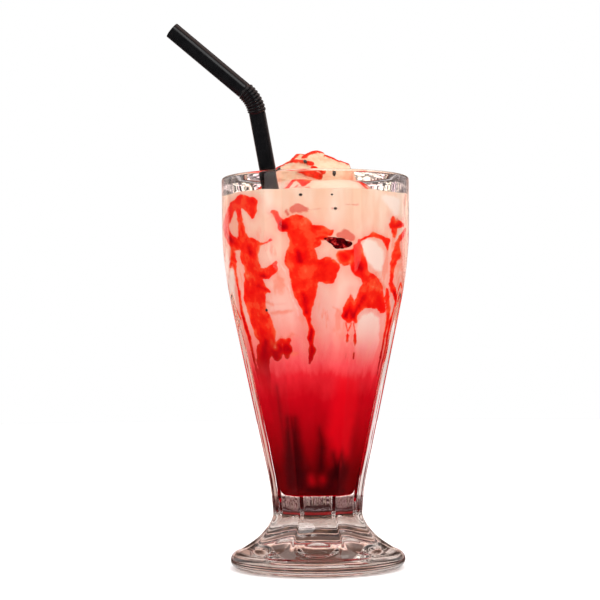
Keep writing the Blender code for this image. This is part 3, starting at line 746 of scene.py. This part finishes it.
def scoop_material():
    """Craggy ice cream in blotches of a pale and a pinker cream, satin where it is bare and
    glossy where the syrup lies."""
    material, tree, shader = new_material(
        "ice_cream_with_syrup", Roughness=0.42, Coat_Roughness=0.08, Specular_IOR_Level=0.04
    )
    place = object_place(tree)
    blotches = remap(tree, noise(tree, place, 120.0, 4.0, 0.6), 0.35, 0.70)
    cream = blend(tree, blotches, (0.70, 0.50, 0.34), (0.76, 0.34, 0.21))
    film = use_group(tree, SYRUP, Depth=kept_value(tree, "syrup"))
    cracks = remap(tree, noise(tree, place, 330.0, 4.0, 0.65), 0.42, 0.62, 0.45, 0.85)
    syrup = blend(tree, cracks, film["Colour"], (0.40, 0.012, 0.0))
    tree.links.new(blend(tree, film["Cover"], cream, syrup), shader.inputs["Base Color"])
    tree.links.new(times(tree, film["Cover"], 0.06), shader.inputs["Coat Weight"])
    bare = maths(tree, "SUBTRACT", 1.0, film["Cover"])
    grain = times(tree, noise(tree, place, 1300.0, 4.0, 0.7), bare)
    bump = add_node(tree, "Bump", {"Height": grain, "Strength": 0.5, "Distance": 0.0006})
    tree.links.new(bump.outputs["Normal"], shader.inputs["Normal"])
    return material


def straw_material():
    """Thin black plastic, drawn lengthways, with faint rubbed patches."""
    material, tree, shader = new_material("black_straw_plastic", Specular_IOR_Level=0.25)
    place = object_place(tree)
    rubbed = noise(tree, place, 260.0, 4.0, 0.65)
    colour = blend(tree, rubbed, (0.002, 0.002, 0.0022), (0.006, 0.006, 0.007))
    tree.links.new(colour, shader.inputs["Base Color"])
    tree.links.new(remap(tree, rubbed, 0.3, 0.7, 0.17, 0.28), shader.inputs["Roughness"])
    return material


def seed_material():
    """Basil seeds: black, in a thin wet jelly."""
    material, tree, shader = new_material("basil_seed", Roughness=0.35, Coat_Weight=1.0)
    specks = noise(tree, object_place(tree), 2500.0)
    colour = blend(tree, specks, (0.004, 0.003, 0.004), (0.035, 0.020, 0.016))
    tree.links.new(colour, shader.inputs["Base Color"])
    return material


def shaded_pocket_material():
    """Painted shade for an air pocket: a dark slice, seen through the glass, whose red and
    pink in the dark cloud are painted highlights.
    """
    material, tree, shader = new_material("shaded_pocket", Specular_IOR_Level=0.0, Roughness=0.5)
    cloud = noise(tree, object_place(tree), 420.0, 3.0, 0.6)
    # Painted shade in the dark stops, and painted highlights in the red and pink ones
    colour = ramp(
        tree,
        cloud,
        (0.34, (0.020, 0.0, 0.001)),
        (0.52, (0.075, 0.001, 0.003)),
        (0.60, (0.42, 0.010, 0.010)),
        (0.74, (0.80, 0.22, 0.18)),
    )
    tree.links.new(colour, shader.inputs["Base Color"])
    return material


# ---------------------------------------------------------------- the glass


def facet_radius(z):
    """A flat flute's middle: a straight line through FACET_RADIUS at FACET_Z."""
    return FACET_RADIUS + FACET_SLOPE * (z - FACET_Z)


def body_radius(z):
    """The bowl's ridges: the flutes' line over the cosine of half a flute, held above the waist
    and below the rim with rounded corners."""
    ridge = facet_radius(z) / math.cos(FLUTE_HALF_ANGLE)
    cone = soft_max(ridge, WAIST_RADIUS, WAIST_ROUNDING)
    return soft_min(RIM_RADIUS, cone, SHOULDER_ROUNDING)


def cavity_radius(z):
    """The inside of the bowl: a straight cone, rounded into the plain band."""
    cone = CAVITY_FLOOR_RADIUS + CAVITY_SLOPE * (z - CAVITY_FLOOR)
    return soft_min(CAVITY_BAND_RADIUS, cone, CAVITY_SHOULDER_ROUNDING)


def ridge_depth(z):
    """How much nearer the axis a full flute's middle is than its ridges."""
    return body_radius(z) * (1 - math.cos(FLUTE_HALF_ANGLE)) + FLUTE_HOLLOW


def flute_depth(z, angle):
    """How far a flute cuts in: its reach at this height, less a parabola of the angle from its
    middle, never below 0. Its top end fades into the band as an arch."""
    band = soft_min(RIM_RADIUS + FLUTE_FADE, facet_radius(z) - FLUTE_HOLLOW, FLUTE_FADE * 6)
    reach = np.minimum(body_radius(z) - band, ridge_depth(z))
    rise = ridge_depth(z) * (angle / FLUTE_HALF_ANGLE) ** 2
    return soft_max(0.0, reach - rise, FLUTE_FADE)


def petal_depth(share, angle):
    """How far a petal cuts into the foot: its flute's depth at the waist, less the fourth power
    of the way out to PETAL_END and a parabola of the angle, never below 0."""
    full = ridge_depth(WAIST_Z)
    depth = full * (1 - (share / PETAL_END) ** 4)
    return soft_max(0.0, depth - full * (angle / FLUTE_HALF_ANGLE) ** 2, FLUTE_FADE)


def cavity_corner(inset, count):
    """The arc between the cavity's floor and its wall, or one drawn inset inside it."""
    centre_z = CAVITY_FLOOR + CAVITY_CORNER
    centre = (cavity_radius(centre_z) - CAVITY_CORNER, centre_z)
    return arc(centre, CAVITY_CORNER - inset, -90, 0, count)


def foot_curve(count):
    """The foot's upper side, a cubic Bezier curve from the waist to the round edge. Gives
    points, directions and how far along each is."""
    edge = (FOOT_RADIUS - FOOT_EDGE_RADIUS, 2 * FOOT_EDGE_RADIUS)
    t = np.linspace(0, 1, count)[:, None]
    curve = cubic(np.array(((body_radius(WAIST_Z), WAIST_Z), *FLARE_PULLS, edge)), t)
    return curve, unit(np.gradient(curve, axis=0)), t


def make_glass():
    """The glass in one closed grid: the cavity's floor, corner and wall, the half-round lip, the
    band and flutes, the foot with its petals, its round edge and its flat underside."""
    longitudes = around(GLASS_COLUMNS)
    half = FLUTE_HALF_ANGLE
    angle = np.abs((longitudes - FRONT + half) % (2 * half) - half)

    corner = cavity_corner(0.0, 9)
    floor = np.stack((np.linspace(0.25, 0.8, 3) * corner[0, 0], np.full(3, CAVITY_FLOOR)), -1)
    wall_z = np.linspace(CAVITY_FLOOR + CAVITY_CORNER, 0.1775, 50)[1:]
    wall = np.stack((cavity_radius(wall_z), wall_z), -1)
    half_lip = LIP_THICKNESS / 2
    lip = arc((RIM_RADIUS - half_lip, GLASS_HEIGHT - half_lip), half_lip, 180, 0, 15)
    inside = turned(np.vstack((floor, corner, wall, lip)), longitudes)

    bowl_z = np.concatenate(  # the rows stand closest at the arches of the flutes
        (
            np.linspace(lip[-1, 1], 0.168, 7)[1:],
            np.linspace(0.168, 0.120, 86)[1:],
            np.linspace(0.120, 0.036, 40)[1:],
            np.linspace(0.036, WAIST_Z, 16)[1:],
        )
    )[:, None]
    bowl_r = body_radius(bowl_z) - flute_depth(bowl_z, angle)
    bowl = np.stack(
        (bowl_r * np.cos(longitudes), bowl_r * np.sin(longitudes), bowl_z + 0 * bowl_r), -1
    )

    curve, along, t = foot_curve(64)
    depth = petal_depth(t, angle)
    foot_r = curve[:, :1] + along[:, 1:] * depth
    foot_z = curve[:, 1:] - along[:, :1] * depth
    foot = np.stack((foot_r * np.cos(longitudes), foot_r * np.sin(longitudes), foot_z), -1)

    edge_centre = (FOOT_RADIUS - FOOT_EDGE_RADIUS, FOOT_EDGE_RADIUS)
    edge = arc(edge_centre, FOOT_EDGE_RADIUS, 90, -90, 21)[1:]
    under = np.stack((np.linspace(0.9, 0.2, 5) * edge_centre[0], np.zeros(5)), -1)
    below = turned(np.vstack((edge, under)), longitudes)

    points = np.concatenate((inside, bowl, foot[1:], below))
    mesh = grid_mesh("glass", points, (0, 0, CAVITY_FLOOR), (0, 0, 0))
    return add_piece("pressed_glass", mesh, glass_material(), "clear_glass", "glass")


# ---------------------------------------------------------------- the drink


def surface_height(x, y):
    """The drink's top: its level, a slow wave, a rise by an even S towards the scoop, and the
    thin climb at the wall, which falls off as e to the minus distance."""
    flat = np.stack((x, y, 0 * x), -1)
    wave = SURFACE_WAVE * rough(flat, 0.011, 3)
    away = np.hypot(x - SCOOP_CENTRE[0], y - SCOOP_CENTRE[1]) - SCOOP_RADIUS
    lap = LAP_HEIGHT * smooth(1 - away / LAP_WIDTH)
    inside = np.maximum(cavity_radius(DRINK_LEVEL) - np.hypot(x, y), 0)
    climb = MENISCUS * np.exp(-inside / MENISCUS_WIDTH)
    return DRINK_LEVEL + wave + lap + climb


def seen_turn(x, height):
    """The longitude from the front at which the wall is seen, a distance x beside the axis. The
    glass is cut across at this height. Where the line of sight meets its outside, it bends by
    Snell's law: the sine of its angle to the surface's normal is divided by GLASS_IOR. It then
    misses the axis by side times the cosine of the bend less near times its sine, and the
    arcsine of that over the wall's radius is how far round it meets the wall."""
    glance = math.atan2(abs(x), -EYE[1])
    longitude = np.linspace(0.0, 1.45, 400)
    half = FLUTE_HALF_ANGLE
    angle = np.abs((longitude + half) % (2 * half) - half)
    radius = body_radius(height) - flute_depth(height, angle)
    side = radius * np.sin(longitude + glance)
    near = radius * np.cos(longitude + glance)
    facing = np.arctan2(-np.gradient(near), np.gradient(side))
    bend = facing - np.arcsin(np.sin(facing) / GLASS_IOR)
    miss = (side * np.cos(bend) - near * np.sin(bend)) / cavity_radius(height)
    turn = np.arcsin(np.clip(miss, -1, 1)) + bend - glance
    outwards = np.maximum.accumulate(side)
    return math.copysign(np.interp(abs(x) * math.cos(glance), outwards, turn), x)


def on_wall(x, z):
    """The longitude from the front and the height on the wall of what the camera sees at a
    place on the axis plane. The line of sight is cut short by how near the wall is, which is
    worked out three times over."""
    turn, height = seen_turn(x, z), z
    for _ in range(3):
        nearer = 1 + cavity_radius(height) * math.cos(turn) / EYE[1]
        height = EYE[2] + (z - EYE[2]) * nearer
        turn = seen_turn(x, height)
    return turn, height


def streak_depth(strings, turn, height):
    """How far inside the nearest streak each place on the wall is, in metres, less than 0
    outside. A streak runs straight between neighbouring spots on the unrolled wall, and its
    half width changes evenly on the way: the depth is that half width less the distance. The
    wall is seen more and more edge on away from the front, so a step along it counts by the
    cosine of the streak's place, and no less than LEAST_FACING."""
    radius = cavity_radius(height)
    depth = np.full(turn.shape, -1.0)
    for spots in strings.values():
        ends = [(*on_wall(x * MM, z * MM), half * MM) for x, z, half in spots]
        for (turn_a, z_a, half_a), (turn_b, z_b, half_b) in zip(ends, ends[1:]):
            from_a = (turn - turn_a + math.pi) % TAU - math.pi
            facing = max(LEAST_FACING, math.cos(turn_a))
            across, up = radius * facing * from_a, height - z_a
            run, rise = radius * facing * (turn_b - turn_a), z_b - z_a
            share = np.clip((across * run + up * rise) / (run * run + rise * rise), 0, 1)
            away = np.hypot(across - share * run, up - share * rise)
            depth = soft_max(depth, half_a + share * (half_b - half_a) - away, JOIN_WIDTH)
    return depth


def wandering(points, turn, height):
    """The same places, pushed about a little, so that streaks aren't drawn with a ruler: noise
    of two sizes, as a turn and as a height."""
    (wide, wide_size), (fine, fine_size) = WANDER
    aside = wide * rough(points, wide_size, 11) + fine * rough(points, fine_size, 12)
    upward = wide * rough(points, wide_size, 13) + fine * rough(points, fine_size, 14)
    return turn + aside / cavity_radius(height), height + upward


def all_round(strings, turn, height):
    """The streaks as placed at the front, and once more, lower and turned, at the back."""
    front = streak_depth(strings, turn, height)
    behind = (turn + math.pi + BACK_TURN + math.pi) % TAU - math.pi
    return np.maximum(front, streak_depth(strings, behind, height + BACK_DROP))


def fading(depth, fade):
    """An even S from 0 at a distance outside a mark to 1 at a width further in."""
    outside, width = fade
    return smooth((depth + outside) / width)


def keep_marks(mesh, turn, height):
    """Works out for each point of the drink how deep it is in each kind of mark. A streak's
    depth is cut short at SYRUP_DEPTH and inside its pockets, falls to THIN_DEPTH by THIN_SHARE
    where it is thin, and gains where it has a core."""
    depth = all_round(STREAKS_MM, turn, height)
    cores = np.maximum(all_round(CORE_SPOTS_MM, turn, height) + CORE_SPREAD, 0)
    pockets = streak_depth(POCKETS_MM, turn, height)
    thin = fading(streak_depth(THIN_MM, turn, height), THIN_FADE)
    depth = soft_min(soft_min(depth, -pockets, EDGE_WIDTH), SYRUP_DEPTH, EDGE_WIDTH)
    inside = smooth(depth / SYRUP_DEPTH)
    thinned = THIN_SHARE * (depth - THIN_DEPTH) * thin * inside
    depth = depth - thinned + CORE_GAIN * cores * inside
    keep_values(mesh, "syrup", depth / MM)
    shade = fading(all_round(SHADES_MM, turn, height), SHADE_FADE)
    glow = fading(all_round(GLOWS_MM, turn, height), GLOW_FADE)
    keep_values(mesh, "shade", SHADE_STRENGTH * shade)
    keep_values(mesh, "glow", GLOW_STRENGTH * glow * (1 - shade))
    keep_values(mesh, "dull", streak_depth(DULL_MM, turn, height) / MM)
    keep_values(mesh, "wash", all_round(WASHES_MM, turn, height) / MM)
    keep_values(mesh, "white", streak_depth(WHITES_MM, turn, height) / MM)


def make_drink():
    """The whole drink in one closed grid: the floor, corner and side just inside the wall, then
    the top from the wall in under the scoop. Its columns' longitudes are even ones less a share
    of their sine, so that they stand closer at the front, where the streaks are."""
    even = around(DRINK_COLUMNS)
    longitudes = even - CLOSER_AT_FRONT * np.sin(even - FRONT)
    corner = cavity_corner(-INTO_WALL, 8)
    low = CAVITY_FLOOR - INTO_WALL
    floor = np.stack((np.linspace(0.3, 0.85, 3) * corner[0, 0], np.full(3, low)), -1)
    bottom = turned(np.vstack((floor, corner)), longitudes)

    top_r = cavity_radius(DRINK_LEVEL) + INTO_WALL
    cosine, sine = np.cos(longitudes), np.sin(longitudes)
    brim = surface_height(top_r * cosine, top_r * sine)
    share = np.concatenate((np.linspace(0, 0.38, 34)[1:], np.linspace(0.38, 1, 186)[1:]))[:, None]
    side_z = corner[-1, 1] + share * (brim - corner[-1, 1])
    side_r = cavity_radius(side_z) + INTO_WALL
    side = np.stack((side_r * cosine, side_r * sine, side_z), -1)

    radii = np.concatenate((np.linspace(top_r, 0.018, 44)[1:], (0.012, 0.005)))[:, None]
    top_x, top_y = radii * cosine, radii * sine
    top = np.stack((top_x, top_y, surface_height(top_x, top_y)), -1)

    middle = (0, 0, float(surface_height(np.zeros(1), np.zeros(1))[0]))
    mesh = grid_mesh("drink", np.concatenate((bottom, side, top)), (0, 0, low), middle)

    points = corners_of(mesh)
    first_of_top = (len(bottom) + len(side)) * DRINK_COLUMNS
    is_open = (np.arange(len(points)) >= first_of_top).astype(float)
    is_open[-2] = 0.0  # the floor's middle: grid_mesh puts it and the top's middle last
    turn = (np.arctan2(points[:, 1], points[:, 0]) - FRONT + math.pi) % TAU - math.pi
    inward = cavity_radius(DRINK_LEVEL) - np.hypot(points[:, 0], points[:, 1])
    height = np.where(is_open > 0, DRINK_LEVEL - inward * TOP_AS_WALL, points[:, 2])
    keep_marks(mesh, *wandering(points, turn, height))
    keep_values(mesh, "open", is_open)
    # The underside that is given the painted red glow
    keep_values(mesh, "under", (points[:, 2] < CAVITY_FLOOR).astype(float))
    layers = ("rose_syrup", "rose_milk", "melted_ice_cream")
    return add_piece("streaked_drink", mesh, drink_material(), "rose_milk", *layers)


def make_shaded_pocket():
    """A curved dark slice against the wall, painted shade for an air pocket. Its middle line is a
    cubic Bezier curve over its listed places, its half width the square root of a parabola, made
    ragged by noise, and its section an oval that is flat on the glass."""
    t = np.linspace(0, 1, 40)[:, None]
    line = cubic(np.array([on_wall(x * MM, z * MM) for x, z in SHADED_POCKET_MM]), t)
    step = np.gradient(line, axis=0)
    radius = cavity_radius(line[:, 1:])
    across = unit(np.hstack((-step[:, 1:], step[:, :1] * radius)))
    swell = SHADED_POCKET_HALF_WIDTH * np.sqrt(np.clip(4 * t * (1 - t), 0.02, 1)) * (0.45 + 0.75 * t)
    angle = around(28)
    ragged = direction(angle, 0 * angle)[None] * 2 + t[:, :, None] * (9.0, 0.0, 0.0)
    swell = swell * (1 + 0.45 * rough(ragged, 1.3, 31))
    place = np.sin(angle) * swell
    turn = line[:, :1] + across[:, :1] * place / radius + FRONT
    height = line[:, 1:] + across[:, 1:] * place
    inward = np.maximum(-np.cos(angle), 0.0) * SHADED_POCKET_DEEP * swell / SHADED_POCKET_HALF_WIDTH
    r = cavity_radius(height) + INTO_WALL + SHADED_POCKET_PROUD - inward
    points = np.stack((r * np.cos(turn), r * np.sin(turn), height), -1)
    # Painted shade: this dark slice stands for the shadowed air pocket
    mesh = grid_mesh("jelly", points, points[0].mean(axis=0), points[-1].mean(axis=0))
    return add_piece("shaded_pocket", mesh, shaded_pocket_material(), "rose_syrup")


def make_wall_seeds():
    """Oval seeds that lie in the drink against the wall: balls that are flattened inwards."""
    upwards = np.array((0.0, 0.0, 1.0))
    for index, (x, z, half) in enumerate(WALL_SEEDS_MM):
        turn, height = on_wall(x * MM, z * MM)
        outwards = direction(turn + FRONT, 0.0)
        sideways = direction(turn + FRONT + math.pi / 2, 0.0)
        tall = upwards * WALL_SEED_TALL * half * MM
        axes = np.stack((outwards * WALL_SEED_DEEP, sideways * half * MM, tall))
        centre = outwards * (cavity_radius(height) + INTO_WALL) + upwards * height
        ball = centre + seed_ball() @ axes
        mesh = grid_mesh(f"wall_seed_{index + 1}", ball, centre - tall, centre + tall)
        add_piece(mesh.name, mesh, SEED, "scoop")


# ---------------------------------------------------------------- the scoop


def off_arc(place, ends):
    """How far points of the unit ball lie from the arc between two places on it: the distance
    to the nearest point of the chord, pushed out to the ball."""
    start, end = (direction(*np.radians(e)) for e in ends)
    along = end - start
    share = np.clip((place - start) @ along / (along @ along), 0, 1)
    return np.linalg.norm(place - unit(start + share[..., None] * along), axis=-1)


def scoop_relief(place):
    """The folds and the syrup on the scoop. A fold's crest falls off with its distance to the
    power 1.4, over lumps and a fine grain, and a drizzle swells by an even S. Gives the relief
    and how far inside a drizzle each place is, in millimetres."""
    crests = [
        height * np.maximum(0, 1 - off_arc(place, ends) / FOLD_HALF_WIDTH) ** 1.4
        for *ends, height in FOLDS
    ]
    lumps = 0.0005 * rough(place, 0.30, 21) + 0.00025 * rough(place, 0.085, 22)
    crags = 0.0009 * np.abs(rough(place, 0.16, 23))
    away = np.min([off_arc(place, ends) for ends in DRIZZLES], axis=0)
    half = DRIZZLE_HALF_WIDTH * (1 + 0.45 * rough(place, 0.17, 24))
    drizzle = smooth(1.6 - away / half)
    relief = np.max(crests, axis=0) + (lumps - crags) * (1 - 0.7 * drizzle)
    return relief + DRIZZLE_HEIGHT * drizzle, (1.08 * half - away) * SCOOP_RADIUS / MM


def on_scoop(place):
    """Points of the scoop's surface in these directions: the ball and its relief, which dies
    away by an even S towards the melted ice cream."""
    relief, inside = scoop_relief(place)
    above = SCOOP_RADIUS * place[..., 2] + SCOOP_CENTRE[2] - (DRINK_LEVEL + LAP_HEIGHT)
    fade = smooth(above / 0.003 + 0.4)
    return SCOOP_CENTRE + place * (SCOOP_RADIUS + relief * fade)[..., None], inside


def make_scoop():
    """The scoop: a grid of longitude and latitude from its flat base to its crown."""
    lowest = math.asin((SCOOP_BASE - SCOOP_CENTRE[2]) / SCOOP_RADIUS)
    latitude = np.linspace(lowest, math.radians(89.3), 170)[:, None]
    longitude = around(300)[None, :]
    place = direction(longitude + 0 * latitude, latitude + 0 * longitude)
    points, inside = on_scoop(place)
    crown, crown_inside = on_scoop(np.array(((0.0, 0.0, 1.0),)))
    base = (SCOOP_CENTRE[0], SCOOP_CENTRE[1], SCOOP_BASE)
    mesh = grid_mesh("scoop", points, base, crown[0])
    keep_values(mesh, "syrup", np.concatenate((inside.ravel(), (NO_SYRUP,), crown_inside)))
    return add_piece("scoop", mesh, scoop_material(), "scoop", "ice_cream_scoop")


def seed_grid(place, turn):
    """One oval seed half sunk in the scoop: a ball stretched three ways, turned about the
    outward direction and laid along the surface."""
    ball = seed_ball() * np.array(SEED_STRETCH) * SEED_RADIUS
    east = unit(np.cross((0.0, 0.0, 1.0), place))
    north = np.cross(place, east)
    long_way = east * math.cos(turn) + north * math.sin(turn)
    axes = np.stack((long_way, np.cross(place, long_way), place))
    centre = on_scoop(place[None])[0][0] + place * SEED_PROUD
    pole = place * SEED_STRETCH[2] * SEED_RADIUS
    return centre + ball @ axes, centre - pole, centre + pole


def make_seeds():
    """The seeds on the scoop, each turned SEED_TURN further than the one before."""
    for index, (longitude, latitude) in enumerate(SEED_PLACES):
        place = direction(math.radians(longitude), math.radians(latitude))
        points, first, last = seed_grid(place, index * SEED_TURN)
        mesh = grid_mesh(f"basil_seed_{index + 1}", points, first, last)
        add_piece(mesh.name, mesh, SEED, "scoop")


# ---------------------------------------------------------------- the straw


def straw_line():
    """The straw's centre line, directions and outer radii: straight to the bend, an arc whose
    ribs swell by a half cosine, and straight to the open end."""
    rise = unit(STRAW_AT_LIP - STRAW_FOOT)
    end = unit(STRAW_END_DIRECTION)
    hinge = unit(np.cross(rise, end))
    start = STRAW_FOOT + rise * ((STRAW_BEND_START - STRAW_FOOT[2]) / rise[2])
    pivot = start + np.cross(hinge, rise) * STRAW_BEND_RADIUS
    bend = math.acos(rise @ end)

    def arm(origin, along, distances):
        count = len(distances)
        centres = origin + along * np.asarray(distances)[:, None]
        return centres, np.tile(along, (count, 1)), np.full(count, STRAW_RADIUS)

    length = np.linalg.norm(start - STRAW_FOOT)
    lower = arm(STRAW_FOOT, rise, (0, 0.0001, 0.02, 0.06, 0.10, 0.14, length - 0.001))
    turn = np.linspace(0, bend, 12 * RIBS + 1)[:, None]
    radial = unit(start - pivot)
    centres = pivot + STRAW_BEND_RADIUS * (radial * np.cos(turn) + rise * np.sin(turn))
    along = rise * np.cos(turn) - radial * np.sin(turn)
    swell = np.abs(np.sin(math.pi * RIBS * turn[:, 0] / bend)) ** 0.8
    ribs = (centres, along, RIB_VALLEY + (RIB_CREST - RIB_VALLEY) * swell)
    far = (0.001, 0.01, 0.02, 0.03, STRAW_END_LENGTH - 0.0001, STRAW_END_LENGTH)
    upper = arm(centres[-1], end, far)
    parts = zip(lower, ribs, upper)
    return *(np.concatenate(part) for part in parts), hinge


def make_straw():
    """A tube with a bore: rings about the centre line, out along it and back inside."""
    centres, along, radii, hinge = straw_line()
    side = np.cross(hinge, along)
    angle = around(STRAW_COLUMNS)[:, None]

    def rings(radius):
        ring = side[:, None] * np.cos(angle) + hinge * np.sin(angle)
        return centres[:, None] + ring * radius[:, None, None]

    inner = rings(np.minimum(radii - STRAW_WALL, STRAW_BORE))
    points = np.concatenate((rings(radii), inner[::-1]))
    mesh = grid_mesh("straw", points, ring=True)
    return add_piece("bendy_straw", mesh, straw_material(), "black_straw", "straw")


# ---------------------------------------------------------------- the studio


def make_floor():
    """A wide pale disc that the glass stands on. Seen through the glass it has a painted look
    instead: dark, with brown patches near the foot, a rose ring farther out that is a painted
    reflection of the red drink, and bright bands far behind."""
    profile = np.array(((0.2, 0.0), (FLOOR_RADIUS, 0.0), (FLOOR_RADIUS, -0.01), (0.2, -0.01)))
    mesh = grid_mesh("floor", turned(profile, around(96)), (0, 0, 0), (0, 0, -0.01))
    mesh.shade_flat()
    material, tree, shader = new_material("pale_floor", Roughness=0.6, Specular_IOR_Level=0.1)
    place = object_place(tree)
    pale = blend(tree, noise(tree, place, 3.0), (0.93, 0.93, 0.93), (0.95, 0.95, 0.95))
    off_foot = add_node(tree, "VectorMath", {0: place}, operation="LENGTH").outputs["Value"]
    beyond = axis_of(tree, place, "Y")

    patches = remap(tree, noise(tree, place, 60.0, 4.0, 0.6), 0.40, 0.70)
    patches = times(tree, patches, remap(tree, off_foot, 0.12, 0.05))
    # Painted reflection: the rose ring puts the red drink's reflection into the foot
    rose = times(tree, window(tree, off_foot, 0.13, 0.25, 0.02), 0.85)
    bands = remap(tree, noise(tree, place, 9.0, 4.0, 0.7), 0.44, 0.56)
    bands = times(tree, bands, remap(tree, beyond, 0.35, 0.70))
    bands = times(tree, bands, remap(tree, beyond, 1.10, 0.85, 0.15, 1.0))
    # The painted look of the floor that only rays in the glass see
    through = blend(tree, patches, (0.010, 0.007, 0.006), (0.34, 0.19, 0.13))
    through = blend(tree, rose, through, (0.48, 0.006, 0.008))
    through = blend(tree, bands, through, (0.85, 0.80, 0.82))
    through = blend(tree, remap(tree, off_foot, 0.050, 0.042), through, pale)

    ray = add_node(tree, "LightPath").outputs
    in_glass = maths(tree, "LESS_THAN", ray["Diffuse Depth"], 0.5)
    in_glass = maths(tree, "SUBTRACT", in_glass, ray["Is Camera Ray"])
    tree.links.new(blend(tree, in_glass, pale, through), shader.inputs["Base Color"])
    mesh.materials.append(material)
    floor = bpy.data.objects.new("floor", mesh)
    bpy.context.scene.collection.objects.link(floor)
    floor.location.z = -FLOOR_GAP


def make_studio():
    """The camera sees plain white all round. What lights the drink is the room: pale, with two
    darker screens at its sides, a tall window to the front left, a narrow one to the front right
    and a wide soft light overhead. What the glass mirrors and bends is the same windows and a
    wall of patches that is bright above the table, dim straight behind and dark in front, over
    a low speckled haze."""
    world = bpy.data.worlds.new("studio")
    bpy.context.scene.world = world
    world.use_nodes = True
    tree = world.node_tree
    tree.nodes.clear()
    way = add_node(tree, "TexCoord").outputs["Generated"]
    axes = add_node(tree, "SeparateXYZ", {0: way}).outputs
    up = axes["Z"]
    azimuth = maths(tree, "ARCTAN2", axes["X"], axes["Y"])  # 0 behind the glass, + to the right
    off_axis = maths(tree, "ABSOLUTE", azimuth)
    raised = remap(tree, up, 0.05, 0.20)
    not_raised = maths(tree, "SUBTRACT", 1.0, raised)

    # The lamps and screens of the room
    screens = window(tree, off_axis, 0.62, 1.25, 0.25)
    screens = times(tree, screens, remap(tree, up, 0.75, 0.35))
    left = window(tree, azimuth, -2.40, -2.05, 0.04)
    left = times(tree, left, window(tree, up, 0.05, 0.62, 0.05))
    right = window(tree, azimuth, 2.15, 2.30, 0.03)
    right = times(tree, right, window(tree, up, 0.0, 0.55, 0.05))
    windows = add_times(tree, right, 0.7, left)
    over = remap(tree, up, 0.72, 0.92)
    room = add_times(tree, screens, -0.60, 1.40)
    room = add_times(tree, windows, 1.0, room)
    room = add_times(tree, over, 1.0, room)

    # The wall that the glass shows
    wide_way = add_node(tree, "CombineXYZ", {"X": azimuth, "Y": times(tree, up, 0.3)}).outputs[0]
    patches = remap(tree, noise(tree, wide_way, 6.0, 3.0, 0.6), 0.42, 0.60)
    behind = remap(tree, off_axis, 0.70, 0.36)
    to_right = remap(tree, azimuth, 0.9, 1.2)
    wall = add_times(tree, patches, 0.40, 0.90)
    wall = times(tree, wall, add_times(tree, behind, -0.88, 1.0))
    wall = times(tree, wall, add_times(tree, to_right, -0.30, 1.0))

    # The low haze with its dark specks, and glints over it
    haze = remap(tree, up, -0.03, -0.005, 0.015, 2.2)
    haze = times(tree, haze, remap(tree, off_axis, 0.90, 0.75), not_raised)
    haze = maths(tree, "ADD", haze, 0.015)
    specks = remap(tree, noise(tree, way, 75.0, 3.0, 0.7), 0.46, 0.54, 0.04, 1.0)
    wall = add_times(tree, wall, raised, times(tree, haze, specks))
    fine = noise(tree, way, 60.0, 3.0, 0.7)
    glints = remap(tree, add_times(tree, remap(tree, up, 0.0, 0.08), 0.10, fine), 0.52, 0.60)
    glints = times(tree, glints, remap(tree, off_axis, 0.9, 0.75), not_raised)
    glints = times(tree, glints, remap(tree, up, 0.0, 0.04, 0.3, 1.0))
    wall = add_times(tree, glints, 0.5, wall)
    wall = times(tree, wall, remap(tree, off_axis, 2.05, 1.85))
    mirrored = add_times(tree, windows, 2.2, wall)
    mirrored = add_times(tree, over, 1.0, mirrored)
    mirrored = maths(tree, "ADD", mirrored, 0.015)

    # Which of the three a ray meets
    ray = add_node(tree, "LightPath").outputs
    in_glass = maths(tree, "LESS_THAN", ray["Diffuse Depth"], 0.5)
    light = mixed(tree, in_glass, room, mirrored)
    strength = mixed(tree, ray["Is Camera Ray"], light, 1.0)

    # Faint rainbow tints, and a warmer wall behind and to the right
    tinted = times(tree, in_glass, add_times(tree, raised, -0.30, 0.65))
    tinted = times(tree, tinted, maths(tree, "SUBTRACT", 1.0, ray["Is Camera Ray"]))
    colour = blend(tree, tinted, (1.0, 1.0, 1.0), noise(tree, wide_way, 22.0, result="Color"))
    warm = maths(tree, "MAXIMUM", behind, times(tree, to_right, 0.7))
    warm = times(tree, warm, times(tree, raised, tinted))
    warm = add_times(tree, warm, 2.0, times(tree, tinted, 0.7))
    colour = blend(tree, warm, colour, (1.0, 0.58, 0.47))
    background = add_node(tree, "Background", {"Color": colour, "Strength": strength})
    output = add_node(tree, "OutputWorld", {"Surface": background.outputs[0]})
    output.is_active_output = True


def make_lamp():
    """A large soft lamp above and in front, to the right."""
    light = bpy.data.lights.new("soft_lamp", "AREA")
    light.shape = "DISK"
    light.size = 0.7
    light.energy = 5.0
    lamp = bpy.data.objects.new("soft_lamp", light)
    lamp.location = (0.45, -1.0, 1.0)
    lamp.rotation_euler = (math.radians(50), 0.0, math.radians(24))
    bpy.context.scene.collection.objects.link(lamp)


def make_camera():
    """Level with the middle of the glass, and turned a little about its own axis."""
    data = bpy.data.cameras.new("camera")
    data.lens = LENS
    data.sensor_width = SENSOR
    data.shift_x, data.shift_y = SHIFT
    camera = bpy.data.objects.new("camera", data)
    camera.location = EYE
    camera.rotation_euler = (math.pi / 2, ROLL, 0.0)
    bpy.context.scene.collection.objects.link(camera)
    bpy.context.scene.camera = camera


SEED = seed_material()
make_glass()
make_drink()
make_shaded_pocket()
make_wall_seeds()
make_scoop()
make_seeds()
make_straw()
make_floor()
make_studio()
make_lamp()
make_camera()
bpy.context.scene.view_settings.view_transform = "Standard"

bpy.context.view_layer.update()
